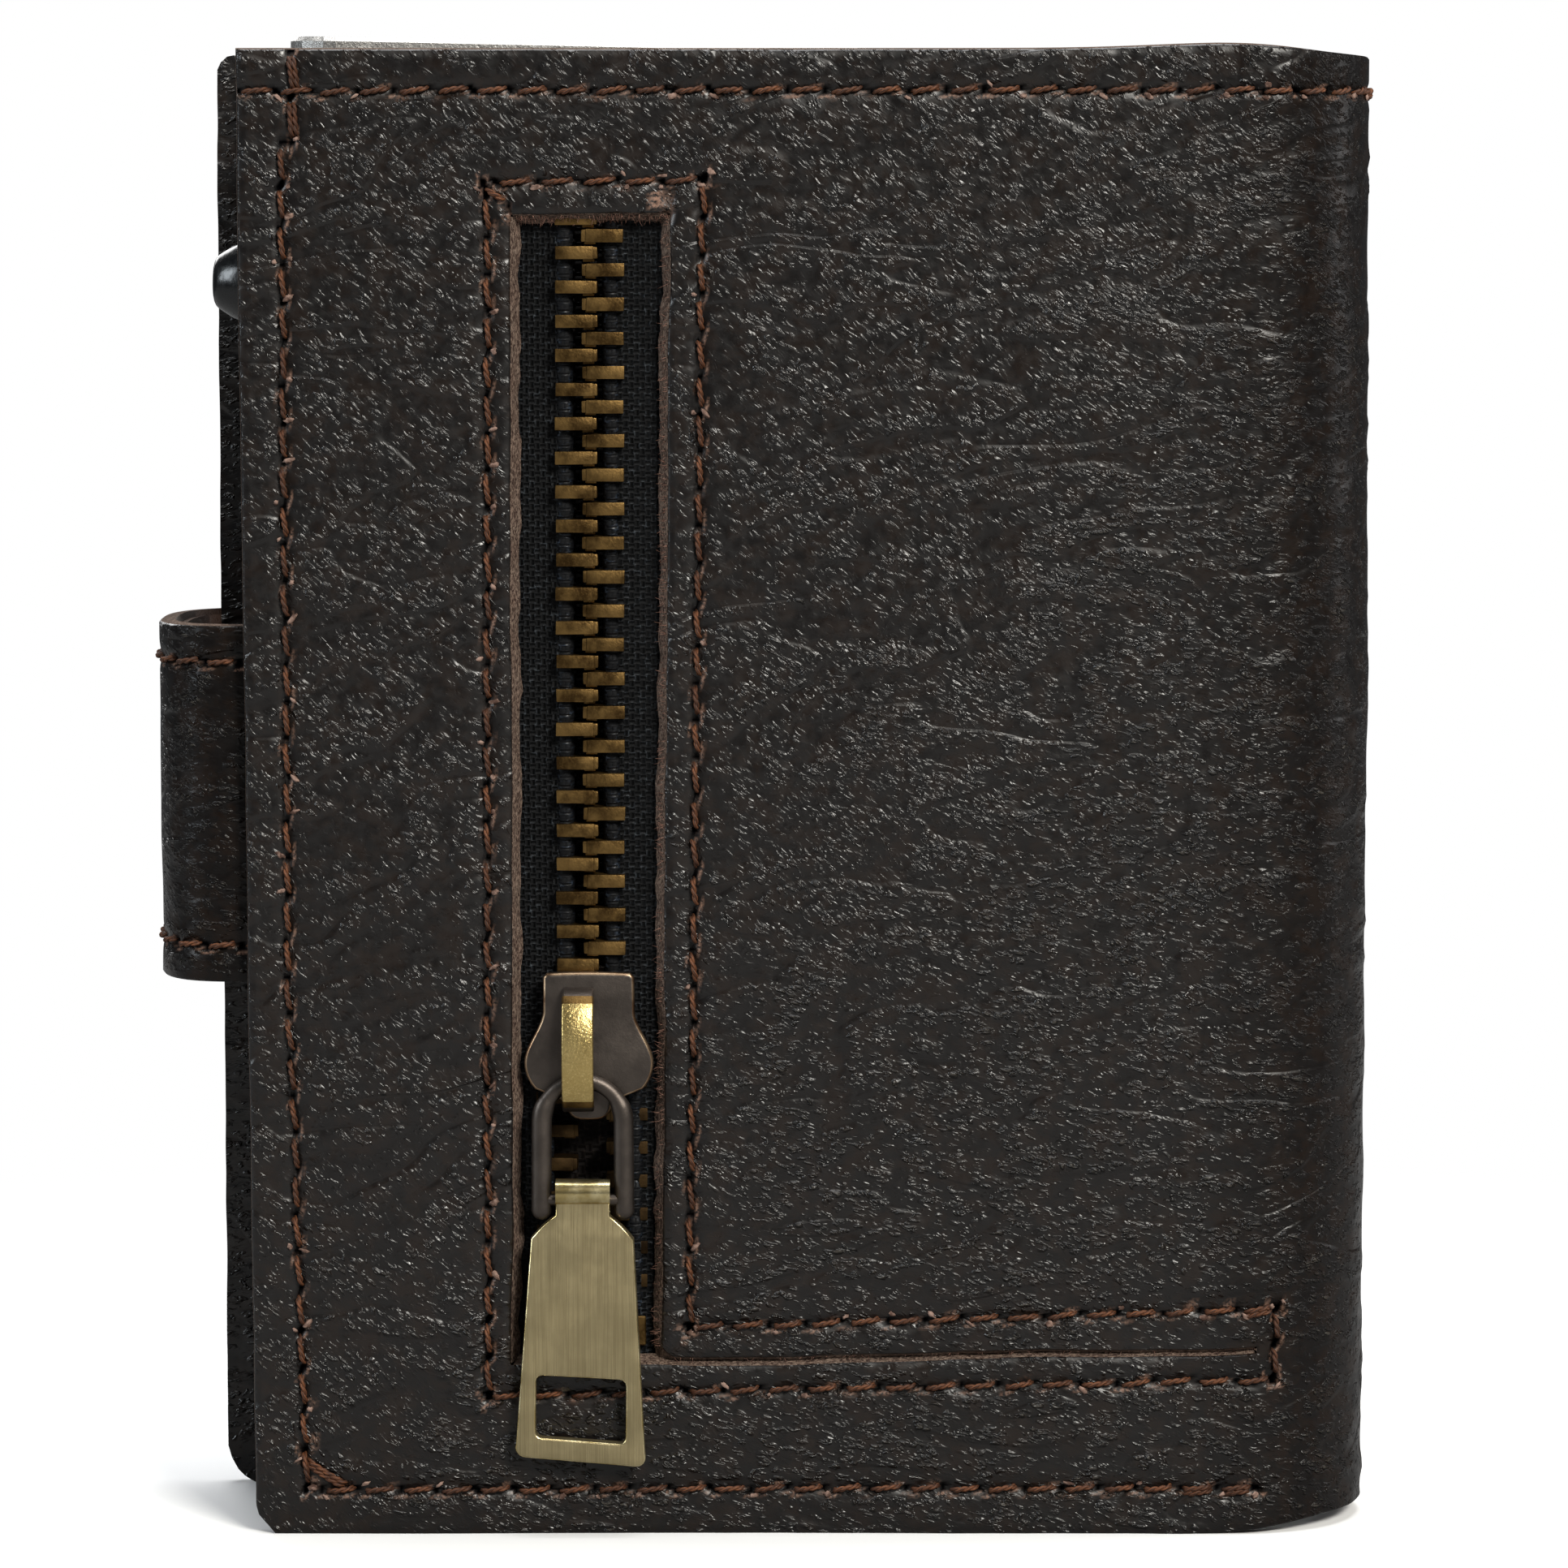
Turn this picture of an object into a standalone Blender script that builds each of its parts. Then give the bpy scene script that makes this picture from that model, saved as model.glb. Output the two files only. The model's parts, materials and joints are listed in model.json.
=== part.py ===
"""Pop-up card wallet with a zippered coin pocket, standing on its bottom edge and closed by its strap.

Units are metres. +Z is up, the zip pocket faces -Y, the spine is at +X and the closing strap at -X.
The origin is the middle of the footprint, on the ground. Layers are stacked from the front face
towards the rear, so most depths below are distances behind the front face.
"""

import math

import bmesh
import bpy
from mathutils import Matrix, Vector

MM = 0.001

# The closed cover
HEIGHT = 99.7 * MM
DEPTH = 17.6 * MM
FRONT_Y = -9.575 * MM
MID_Y = FRONT_Y + DEPTH / 2
LEATHER = 1.2 * MM
SPINE_X = 32.3 * MM                    # where the flat panels turn into the round spine
SPINE_R = DEPTH / 2 - LEATHER / 2      # middle of the leather
SPINE_RISE = 0.5 * MM                  # the spine's ends sit this much inside the panels' ends
SPINE_OPENING = math.radians(1.2)      # half the slot between the spine and each panel
ZIP_EDGE_TOP = -34.8 * MM
ZIP_EDGE_BOTTOM = -34.2 * MM
REAR_EDGE = -37.5 * MM
REAR_CORNER_TOP = 1.6 * MM
REAR_CORNER_BOTTOM = 2.8 * MM
GAP = 0.3 * MM                         # between pieces that lie on each other

# Layers behind the front face: (start, end)
TAPE_LAYER = (1.5 * MM, 1.95 * MM)
TEETH_LAYER = (0.62 * MM, 2.82 * MM)
POCKET_LAYER = (3.9 * MM, 4.2 * MM)
ZIP_LINING_LAYER = (4.5 * MM, 5.1 * MM)
LOWER_CARD_LAYER = (5.4 * MM, 5.9 * MM)
UPPER_CARD_LAYER = (6.15 * MM, 6.55 * MM)
CASE_LAYER = (6.9 * MM, 13.9 * MM)
MOUNTING_LAYER = (14.15 * MM, 14.55 * MM)
REAR_LINING_LAYER = (14.8 * MM, 15.4 * MM)
POST_LAYER = (15.65 * MM, 16.1 * MM)
REAR_LAYER = (DEPTH - LEATHER, DEPTH)
STUD_LAYER = (17.85 * MM, 18.2 * MM)
SOCKET_LAYER = (18.5 * MM, 19.25 * MM)
STRAP_LINING_LAYER = (19.5 * MM, 20.1 * MM)
STRAP_OUTER_LAYER = (20.25 * MM, 21.35 * MM)
CAP_LAYER = (21.55 * MM, 22.0 * MM)

# Zip window and the slit of the slip pocket
WINDOW_TOP = 88.5 * MM
WINDOW_BOTTOM = 12.1 * MM
WINDOW_LEFT = (-17.15 * MM, -16.9 * MM)   # at the bottom, at the top
WINDOW_RIGHT = (-7.2 * MM, -6.4 * MM)
SLIT_HEIGHT = 0.55 * MM
SLIT_END = 33.4 * MM

# Zip
ZIP_X = -11.6 * MM
TOOTH_PITCH = 2.27 * MM
TOOTH_HEIGHT = 0.87 * MM
TOOTH_OUTER = 2.42 * MM                # from the chain's middle to the back of a tooth
TOOTH_LENGTH = 2.8 * MM
CORD_WIDTH = 0.8 * MM
CHAIN_TOP = 88.2 * MM
CHAIN_BOTTOM = 15.0 * MM
FIRST_TOOTH_Z = 86.9 * MM
TAPE_OUTER = 9.0 * MM
PARTING_START = 34.4 * MM
PARTING_END = 30.4 * MM
PARTING = 1.45 * MM                    # how far each row stands aside below the slider
STOP_HALF = 0.9 * MM
BOTTOM_STOP_HALF = 2.4 * MM

# Slider, with its wide end down
SLIDER_TOP = 38.2 * MM
SLIDER_BOTTOM = 28.2 * MM
SLIDER_SHOULDER = 32.0 * MM
SLIDER_TOP_HALF = 3.07 * MM
SLIDER_WIDE_HALF = 4.37 * MM
SLIDER_PLATES = ((-0.35 * MM, 0.4 * MM), (3.05 * MM, 3.75 * MM))
SLIDER_NECK = 2.6 * MM                 # length of its straight narrow end
TAPE_SLOT = (1.3 * MM, 2.15 * MM)
TAPE_SLOT_INNER = 2.3 * MM
DIAMOND_HALF = 0.55 * MM               # the post between the tooth rows
DIAMOND_TOP = 30.2 * MM
DIAMOND_SHOULDER = 28.9 * MM
CROWN_X = -12.3 * MM
CROWN_WIDTH = 2.3 * MM
CROWN_TOP = 37.3 * MM
CROWN_BOTTOM = 28.8 * MM
CROWN_BASE = -0.55 * MM
CROWN_FRONT = -2.85 * MM
CROWN_STRIP = 0.55 * MM

# Pull: a wire loop under the crown, and a tab on the loop's inturned ends
PULL_X = -12.0 * MM
PULL_DEPTH = -1.08 * MM
LOOP_PIVOT_Z = 31.05 * MM
LOOP_RADIUS = 2.92 * MM
WIRE_R = 0.6 * MM
PIN_R = 0.42 * MM
TAB_PIVOT_Z = 23.0 * MM
TAB_BOTTOM = 4.8 * MM
TAB_THICKNESS = 1.1 * MM
NECK_THICKNESS = 2.0 * MM
NECK_HALF = 1.75 * MM
NECK_TOP = 24.4 * MM
SHOULDER_TOP = 22.0 * MM
SHOULDER_BOTTOM = 20.4 * MM
SHOULDER_HALF = 3.45 * MM
TAB_BOTTOM_HALF = 4.45 * MM
EYE_R = 0.62 * MM
TAB_WINDOW = (3.05 * MM, 6.3 * MM, 10.6 * MM)   # half width, bottom, top
WIRE_BEND = 0.55 * MM

# Card case, in its own frame: X across, Y deep, Z along the case, mouth down
CASE_CENTRE_X = -1.5 * MM
CASE_WIDTH = 63.0 * MM
CASE_LEAN = math.radians(1.2)          # taped in slightly askew, left side up
CASE_CORNER = 3.3 * MM
CASE_WALL = 0.8 * MM
CASE_BOTTOM = 1.8 * MM
TUBE_TOP = 98.4 * MM
END_CAP_TOP = 100.2 * MM
MOUTH_HEIGHT = 2.2 * MM
TRIGGER_Z = 83.6 * MM
TRIGGER_TRAVEL = 12.0 * MM
TRIGGER_TIP_X = -36.0 * MM             # in the case's frame
EJECTOR_TOP = 95.6 * MM
CARD_STOP = 88.6 * MM                  # where the front card's end rests on the ejector
EJECTOR_STEPS = 5
EJECTOR_RISE = 1.2 * MM
EJECTOR_LEFT = -27.9 * MM
EJECTOR_ARM = 2.3 * MM
ARM_HALF = 1.4 * MM
STEM_R = 1.15 * MM
STEM_GAP = 0.15 * MM
SLOT_HALF = 1.6 * MM
SLOT_SPARE = 1.9 * MM                  # the slot runs on past the stem by this much

# Strap
STRAP_LOW = 37.4 * MM
STRAP_HIGH = 61.4 * MM
STRAP_X = -34.8 * MM                   # where the strap leaves the cover and starts to bow out
STRAP_REACH = 6.3 * MM                 # how far the bow stands out from there
STRAP_ROUNDNESS = 2.8                  # exponent of the bow's superellipse
STRAP_ROOT_END = -25.5 * MM
STRAP_TIP_END = -14.0 * MM
STRAP_CORNER = 4.5 * MM
STRAP_LINING_TRIM = 0.35 * MM
STRAP_MIDDLE = 11.425 * MM             # the bow's middle, behind the front face
STRAP_FOLD = 0.25                      # the two fold lines, as shares of the bow
STRAP_OPENING = 0.006                  # half the slot at a fold, as a share of the bow
STRAP_FOLD_ACROSS = 0.42               # where the fold lines lie across the bow, as a share of it
SNAP_HOLE_R = 1.75 * MM
SNAP_X = -21.5 * MM

ARC_STEP = math.radians(7.5)


# ---------------------------------------------------------------- scene helpers

def clear_scene():
    for obj in list(bpy.data.objects):
        bpy.data.objects.remove(obj, do_unlink=True)


def make_material(name, colour, roughness, metallic=0.0):
    material = bpy.data.materials.new(name)
    material.use_nodes = True
    shader = material.node_tree.nodes["Principled BSDF"]
    shader.inputs["Base Color"].default_value = (*colour, 1.0)
    shader.inputs["Roughness"].default_value = roughness
    shader.inputs["Metallic"].default_value = metallic
    return material


def make_empty(name, location, parent=None, rotation=(0.0, 0.0, 0.0)):
    """An empty at a world place; parents of empties are never rotated, so offsets subtract."""
    empty = bpy.data.objects.new(name, None)
    bpy.context.scene.collection.objects.link(empty)
    offset = Vector(location)
    if parent:
        empty.parent = parent
        offset -= world_location(parent)
    empty.location = offset
    empty.rotation_euler = rotation
    return empty


def world_location(obj):
    place = obj.location.copy()
    while obj.parent:
        obj = obj.parent
        place += obj.location
    return place


def add_object(name, bm, material, pivot=None, smooth=False):
    """Turns a bmesh in world coordinates into an object whose origin is its pivot empty."""
    bmesh.ops.recalc_face_normals(bm, faces=bm.faces)
    mesh = bpy.data.meshes.new(name)
    bm.to_mesh(mesh)
    bm.free()
    obj = bpy.data.objects.new(name, mesh)
    bpy.context.scene.collection.objects.link(obj)
    if material:
        mesh.materials.append(material)
    if pivot:
        mesh.transform(Matrix.Translation(-world_location(pivot)))
        obj.parent = pivot
    if smooth:
        mesh.shade_smooth()
        mesh.set_sharp_from_angle(angle=math.radians(35))
    return obj


def combine(obj, helper, operation):
    """Joins a hidden helper object to the object, or takes its shape away."""
    helper.hide_render = True
    helper.display_type = "WIRE"
    modifier = obj.modifiers.new(helper.name, "BOOLEAN")
    modifier.operation = operation
    modifier.solver = "EXACT"
    modifier.object = helper


def cut(obj, name, bm, pivot=None):
    """Takes the cutter's shape away from the object."""
    combine(obj, add_object(name, bm, None, pivot), "DIFFERENCE")


def bevel(obj, width, segments=2):
    modifier = obj.modifiers.new("rounded_edges", "BEVEL")
    modifier.width = width
    modifier.segments = segments
    modifier.limit_method = "ANGLE"
    modifier.angle_limit = math.radians(35)


def layer_y(layer):
    return FRONT_Y + layer[0], FRONT_Y + layer[1]


# ---------------------------------------------------------------- shapes

def skin(rings, closed=False):
    """A body over rings of points: capped at both ends, or closed by joining the last ring to the first."""
    bm = bmesh.new()
    rings = [[bm.verts.new(point) for point in ring] for ring in rings]
    following = rings[1:] + rings[:1] if closed else rings[1:]
    count = len(rings[0])
    for ring, after in zip(rings, following):
        for i in range(count):
            k = (i + 1) % count
            bm.faces.new((ring[i], ring[k], after[k], after[i]))
    if not closed:
        bm.faces.new(reversed(rings[0]))
        bm.faces.new(rings[-1])
    return bm


def prism(outline, low, high, place):
    """A closed prism: the outline's 2-D points at two levels, put in space by place(a, b, level)."""
    return skin([[place(a, b, level) for a, b in outline] for level in (low, high)])


def prism_along_y(outline_xz, layer):
    low, high = layer_y(layer)
    return prism(outline_xz, low, high, lambda x, z, y: (x, y, z))


def prism_along_x(outline_yz, low, high):
    return prism(outline_yz, low, high, lambda y, z, x: (x, y, z))


def rectangle(left, right, bottom, top):
    return [(left, bottom), (right, bottom), (right, top), (left, top)]


def rounded_rectangle(left, right, bottom, top, radius, steps=5):
    points = []
    corners = ((right, top, 0), (left, top, 90), (left, bottom, 180), (right, bottom, 270))
    for x, y, start in corners:
        centre_x = x - math.copysign(radius, x - (left + right) / 2)
        centre_y = y - math.copysign(radius, y - (bottom + top) / 2)
        for i in range(steps + 1):
            angle = math.radians(start + 90 * i / steps)
            points.append((centre_x + radius * math.cos(angle), centre_y + radius * math.sin(angle)))
    return points


def ribbon(path, thickness, low, high):
    """A strip standing on edge: path holds (x, y) at its middle, low and high give z by point number."""
    rings = []
    for i, (x, y) in enumerate(path):
        before = path[max(i - 1, 0)]
        after = path[min(i + 1, len(path) - 1)]
        along = Vector((after[0] - before[0], after[1] - before[1])).normalized()
        side = Vector((-along.y, along.x)) * thickness / 2
        corners = ((1, low(i)), (1, high(i)), (-1, high(i)), (-1, low(i)))
        rings.append([(x + side.x * s, y + side.y * s, z) for s, z in corners])
    return skin(rings)


def rounded_end(edge, y, radius, direction, steps=6):
    """Path points that close in on a strip's end, and how far its corners have rounded off, 0 to 1."""
    angles = [math.pi / 2 * i / steps for i in range(steps + 1)]
    points = [(edge - direction * radius * (1 - math.sin(a)), y) for a in angles]
    return points, [1 - math.cos(a) for a in angles]


def arc_path(centre_x, centre_y, radius, start, end):
    steps = max(round(abs(end - start) / ARC_STEP), 1)
    angles = [start + (end - start) * i / steps for i in range(steps + 1)]
    return [(centre_x + radius * math.cos(a), centre_y + radius * math.sin(a)) for a in angles]


def disc(radius, layer, x, z, sides=28, hole=0.0):
    """A round plate facing Y; with a hole it is a ring."""
    low, high = layer_y(layer)
    angles = [2 * math.pi * i / sides for i in range(sides)]
    if not hole:
        outline = [(x + radius * math.cos(a), z + radius * math.sin(a)) for a in angles]
        return prism_along_y(outline, layer)
    rings = []
    for r, y in ((radius, low), (radius, high), (hole, high), (hole, low)):
        rings.append([(x + r * math.cos(a), y, z + r * math.sin(a)) for a in angles])
    return skin(rings, closed=True)


def turned(profile, place, sides=24):
    """A solid of revolution: profile holds (distance along the axis, radius), closed at both ends."""
    angles = [2 * math.pi * i / sides for i in range(sides)]
    rings = []
    for along, radius in profile:
        rings.append([place(along, radius * math.cos(a), radius * math.sin(a)) for a in angles])
    return skin(rings)


def wire(points, radii, sides=12):
    """A round wire through points that lie in one XZ plane, with a radius for each point."""
    rings = []
    for i, (point, radius) in enumerate(zip(points, radii)):
        before = Vector(points[max(i - 1, 0)])
        after = Vector(points[min(i + 1, len(points) - 1)])
        along = (after - before).normalized()
        across = Vector((0, 1, 0)).cross(along)
        ring = []
        for k in range(sides):
            angle = 2 * math.pi * k / sides
            offset = across * math.cos(angle) * radius + Vector((0, math.sin(angle) * radius, 0))
            ring.append(Vector(point) + offset)
        rings.append(ring)
    return skin(rings)


# ---------------------------------------------------------------- joints' places

def spine_pivots():
    """The two fold lines of the spine; turning 90 degrees about each lays the cover out flat."""
    reach = math.pi / 4 * SPINE_R
    return (SPINE_X + reach, MID_Y + reach), (SPINE_X + reach, MID_Y - reach)


def strap_centre_y():
    return FRONT_Y + STRAP_MIDDLE


def strap_bow(reach, rise, start=0.0, end=1.0, steps=24):
    """Points of the bow from the cover's edge round to the rear, as a superellipse."""
    points = []
    for i in range(steps + 1):
        angle = math.pi * (start + (end - start) * i / steps) - math.pi / 2
        x = abs(math.cos(angle)) ** (2 / STRAP_ROUNDNESS)
        y = math.copysign(abs(math.sin(angle)) ** (2 / STRAP_ROUNDNESS), math.sin(angle))
        points.append((STRAP_X - reach * x, strap_centre_y() + rise * y))
    return points


def ply_size(layer):
    """(reach, rise) of a strap ply's middle line, given the layer it has at the rear."""
    middle = FRONT_Y + (layer[0] + layer[1]) / 2
    rise = middle - strap_centre_y()
    outermost = FRONT_Y + STRAP_OUTER_LAYER[1] - strap_centre_y()
    return STRAP_REACH - (outermost - rise), rise


def strap_pivots():
    """The strap's two fold lines, set so that the bow straightens without stretching."""
    reach, rise = ply_size(STRAP_OUTER_LAYER)
    points = strap_bow(reach, rise, steps=400)
    length = sum((Vector(b) - Vector(a)).length for a, b in zip(points, points[1:]))
    across = STRAP_FOLD_ACROSS * length / 2
    along = length / 2 - across
    y = strap_centre_y()
    return (STRAP_X - across, y - along), (STRAP_X - across, y + along)


# ---------------------------------------------------------------- cover

def build_cover(leather, lining, spine_pivot, zip_pivot):
    low = lambda i: 0.0
    high = lambda i: HEIGHT
    quarter = math.pi / 4
    split = SPINE_OPENING

    # Zip panel: flat, then the first 45 degrees of the spine
    front_middle = FRONT_Y + LEATHER / 2
    path = [(ZIP_EDGE_BOTTOM, front_middle), (SLIT_END - 3 * MM, front_middle)]
    path += arc_path(SPINE_X, MID_Y, SPINE_R, -2 * quarter, -quarter - split)
    bm = ribbon(path, LEATHER, low, high)
    lean_left_edge(bm)
    panel = add_object("cover_zip_panel", bm, leather, zip_pivot)
    window = [
        (WINDOW_LEFT[0], WINDOW_BOTTOM - SLIT_HEIGHT),
        (SLIT_END, WINDOW_BOTTOM - SLIT_HEIGHT),
        (SLIT_END, WINDOW_BOTTOM),
        (WINDOW_RIGHT[0], WINDOW_BOTTOM),
        (WINDOW_RIGHT[1], WINDOW_TOP),
        (WINDOW_LEFT[1], WINDOW_TOP),
    ]
    cut(panel, "window_cutter", prism_along_y(window, (-1 * MM, 2.4 * MM)), zip_pivot)

    # Spine: the middle 90 degrees
    path = arc_path(SPINE_X, MID_Y, SPINE_R, -quarter + split, quarter - split)
    bm = ribbon(path, LEATHER, lambda i: SPINE_RISE / 2, lambda i: HEIGHT - SPINE_RISE)
    add_object("cover_spine", bm, leather, spine_pivot)
    inner = SPINE_R - LEATHER / 2 - 0.6 * MM
    path = arc_path(SPINE_X, MID_Y, inner, -quarter + split, quarter - split)
    bm = ribbon(path, 0.5 * MM, lambda i: 1.5 * MM, lambda i: HEIGHT - 1.7 * MM)
    add_object("spine_lining", bm, lining, spine_pivot)

    # Rear panel: the last 45 degrees, then flat to its rounded left corners
    arc = arc_path(SPINE_X, MID_Y, SPINE_R, quarter + split, 2 * quarter)
    rear_middle = FRONT_Y + DEPTH - LEATHER / 2
    end, insets = rounded_end(REAR_EDGE, rear_middle, REAR_CORNER_BOTTOM, -1)
    path = arc + end
    inset = lambda i: insets[i - len(arc)] if i >= len(arc) else 0.0
    bm = ribbon(
        path,
        LEATHER,
        lambda i: REAR_CORNER_BOTTOM * inset(i),
        lambda i: HEIGHT - REAR_CORNER_TOP * inset(i),
    )
    panel = add_object("cover_rear_panel", bm, leather)
    hole = disc(1.5 * MM, (REAR_LAYER[0] - MM, REAR_LAYER[1] + MM), SNAP_X, snap_z(), sides=20)
    cut(panel, "rear_snap_cutter", hole)

    outline = rounded_rectangle(-35.5 * MM, 31.5 * MM, 1.2 * MM, HEIGHT - 1.2 * MM, 1.5 * MM, 3)
    add_object("rear_panel_lining", prism_along_y(outline, REAR_LINING_LAYER), lining)


def lean_left_edge(bm):
    """The zip panel's raw left edge isn't quite parallel with the spine."""
    for vert in bm.verts:
        if abs(vert.co.x - ZIP_EDGE_BOTTOM) < 0.1 * MM:
            vert.co.x += (ZIP_EDGE_TOP - ZIP_EDGE_BOTTOM) * vert.co.z / HEIGHT


def snap_z():
    return (STRAP_LOW + STRAP_HIGH) / 2


def build_pockets(lining, fabric, pivot):
    """Pocket walls and the lining behind the zip panel."""
    top = HEIGHT - 1.2 * MM
    sheets = (
        ("coin_pocket_back", -32.8 * MM, -4.6 * MM, 2.0 * MM, top, POCKET_LAYER, fabric),
        ("slip_pocket_back", -4.0 * MM, 30.8 * MM, 9.0 * MM, top, POCKET_LAYER, fabric),
        ("zip_panel_lining", -33.0 * MM, 31.0 * MM, 1.2 * MM, top, ZIP_LINING_LAYER, lining),
        ("card_pocket_lower", -32.6 * MM, 30.6 * MM, 1.5 * MM, 74.0 * MM, LOWER_CARD_LAYER, lining),
        ("card_pocket_upper", -32.6 * MM, 30.6 * MM, 1.5 * MM, 58.0 * MM, UPPER_CARD_LAYER, lining),
    )
    for name, left, right, bottom, high, layer, material in sheets:
        outline = rounded_rectangle(left, right, bottom, high, 1.2 * MM, 3)
        add_object(name, prism_along_y(outline, layer), material, pivot)


# ---------------------------------------------------------------- zip

def parting(z):
    """How far a tooth row stands aside at this height: none above the slider, full below it."""
    share = (PARTING_START - z) / (PARTING_START - PARTING_END)
    share = min(max(share, 0.0), 1.0)
    return PARTING * share * share * (3 - 2 * share)


def parting_heights(steps=8):
    return [PARTING_START + (PARTING_END - PARTING_START) * i / steps for i in range(steps + 1)]


def tooth_row(side, first_z):
    """A comb: the bead cord with its teeth, side -1 for the left row and 1 for the right."""
    heights = []
    z = first_z
    while z > CHAIN_BOTTOM + TOOTH_HEIGHT:
        heights.append(z)
        z -= TOOTH_PITCH
    outer = lambda z: ZIP_X + side * (TOOTH_OUTER + parting(z))
    inner_cord = lambda z: outer(z) - side * CORD_WIDTH
    points = [(outer(CHAIN_TOP), CHAIN_TOP), (inner_cord(CHAIN_TOP), CHAIN_TOP)]
    for z in heights:
        high = z + TOOTH_HEIGHT / 2
        bottom = z - TOOTH_HEIGHT / 2
        tip = outer(z) - side * TOOTH_LENGTH
        points += [(inner_cord(high), high), (tip, high), (tip, bottom), (inner_cord(bottom), bottom)]
    points += [(inner_cord(CHAIN_BOTTOM), CHAIN_BOTTOM), (outer(CHAIN_BOTTOM), CHAIN_BOTTOM)]
    points += [(outer(z), z) for z in reversed(parting_heights())]
    return points


def tape_outline(side):
    """Half of the zip tape; its inner edge follows the tooth row."""
    inner = lambda z: ZIP_X + side * (TOOTH_OUTER + GAP + parting(z))
    heights = [CHAIN_TOP + 4 * MM] + parting_heights() + [CHAIN_BOTTOM - 5 * MM]
    points = [(inner(z), z) for z in heights]
    outside = ZIP_X + side * TAPE_OUTER
    return points + [(outside, heights[-1]), (outside, heights[0])]


def build_zip(cloth, brass, pivot):
    for name, side, offset in (("left", -1, TOOTH_PITCH / 2), ("right", 1, 0.0)):
        add_object(f"zip_tape_{name}", prism_along_y(tape_outline(side), TAPE_LAYER), cloth, pivot)
        row = tooth_row(side, FIRST_TOOTH_Z - offset)
        add_object(f"zip_teeth_{name}", prism_along_y(row, TEETH_LAYER), brass, pivot)
        middle = ZIP_X + side * (TOOTH_OUTER + PARTING - 1.0 * MM)
        stop = rectangle(middle - STOP_HALF, middle + STOP_HALF, CHAIN_BOTTOM - 2.3 * MM, CHAIN_BOTTOM - GAP)
        piece = add_object(f"zip_top_stop_{name}", prism_along_y(stop, (1.0 * MM, 1.3 * MM)), brass, pivot)
        bevel(piece, 0.08 * MM, 1)
    half = BOTTOM_STOP_HALF
    stop = rectangle(ZIP_X - half, ZIP_X + half, CHAIN_TOP + GAP, CHAIN_TOP + 2.0 * MM)
    piece = add_object("zip_bottom_stop", prism_along_y(stop, (2.2 * MM, 3.0 * MM)), brass, pivot)
    bevel(piece, 0.15 * MM, 1)


def slider_outline(inset=0.0):
    """The slider's plate: a narrow straight end on top, flaring to a round wide end."""
    top = SLIDER_TOP - inset
    half_top = SLIDER_TOP_HALF - inset
    half_wide = SLIDER_WIDE_HALF - inset
    neck = SLIDER_TOP - SLIDER_NECK
    right = [(half_top, top), (half_top - 0.1 * MM, neck)]
    steps = 6
    for i in range(1, steps + 1):
        share = i / steps
        swell = share * share * (3 - 2 * share)
        z = neck - share * (neck - SLIDER_SHOULDER)
        right.append((half_top - 0.1 * MM + (half_wide - half_top + 0.1 * MM) * swell, z))
    drop = SLIDER_SHOULDER - SLIDER_BOTTOM - inset
    for i in range(1, 9):
        angle = math.pi / 2 * i / 9
        right.append((half_wide * math.cos(angle) ** 0.8, SLIDER_SHOULDER - drop * math.sin(angle)))
    left = [(-x, z) for x, z in reversed(right)]
    return [(ZIP_X + x, z) for x, z in right + left]


def slider_channel():
    """The space for the tooth rows between the slider's flanges, in X and Z."""
    right = []
    for z in (SLIDER_TOP + MM, PARTING_START, 33.4 * MM, 32.4 * MM, 31.4 * MM, PARTING_END, SLIDER_BOTTOM - MM):
        right.append((TOOTH_OUTER + 0.14 * MM + parting(z) * 0.98, z))
    left = [(-x, z) for x, z in reversed(right)]
    return [(ZIP_X + x, z) for x, z in right + left]


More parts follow.
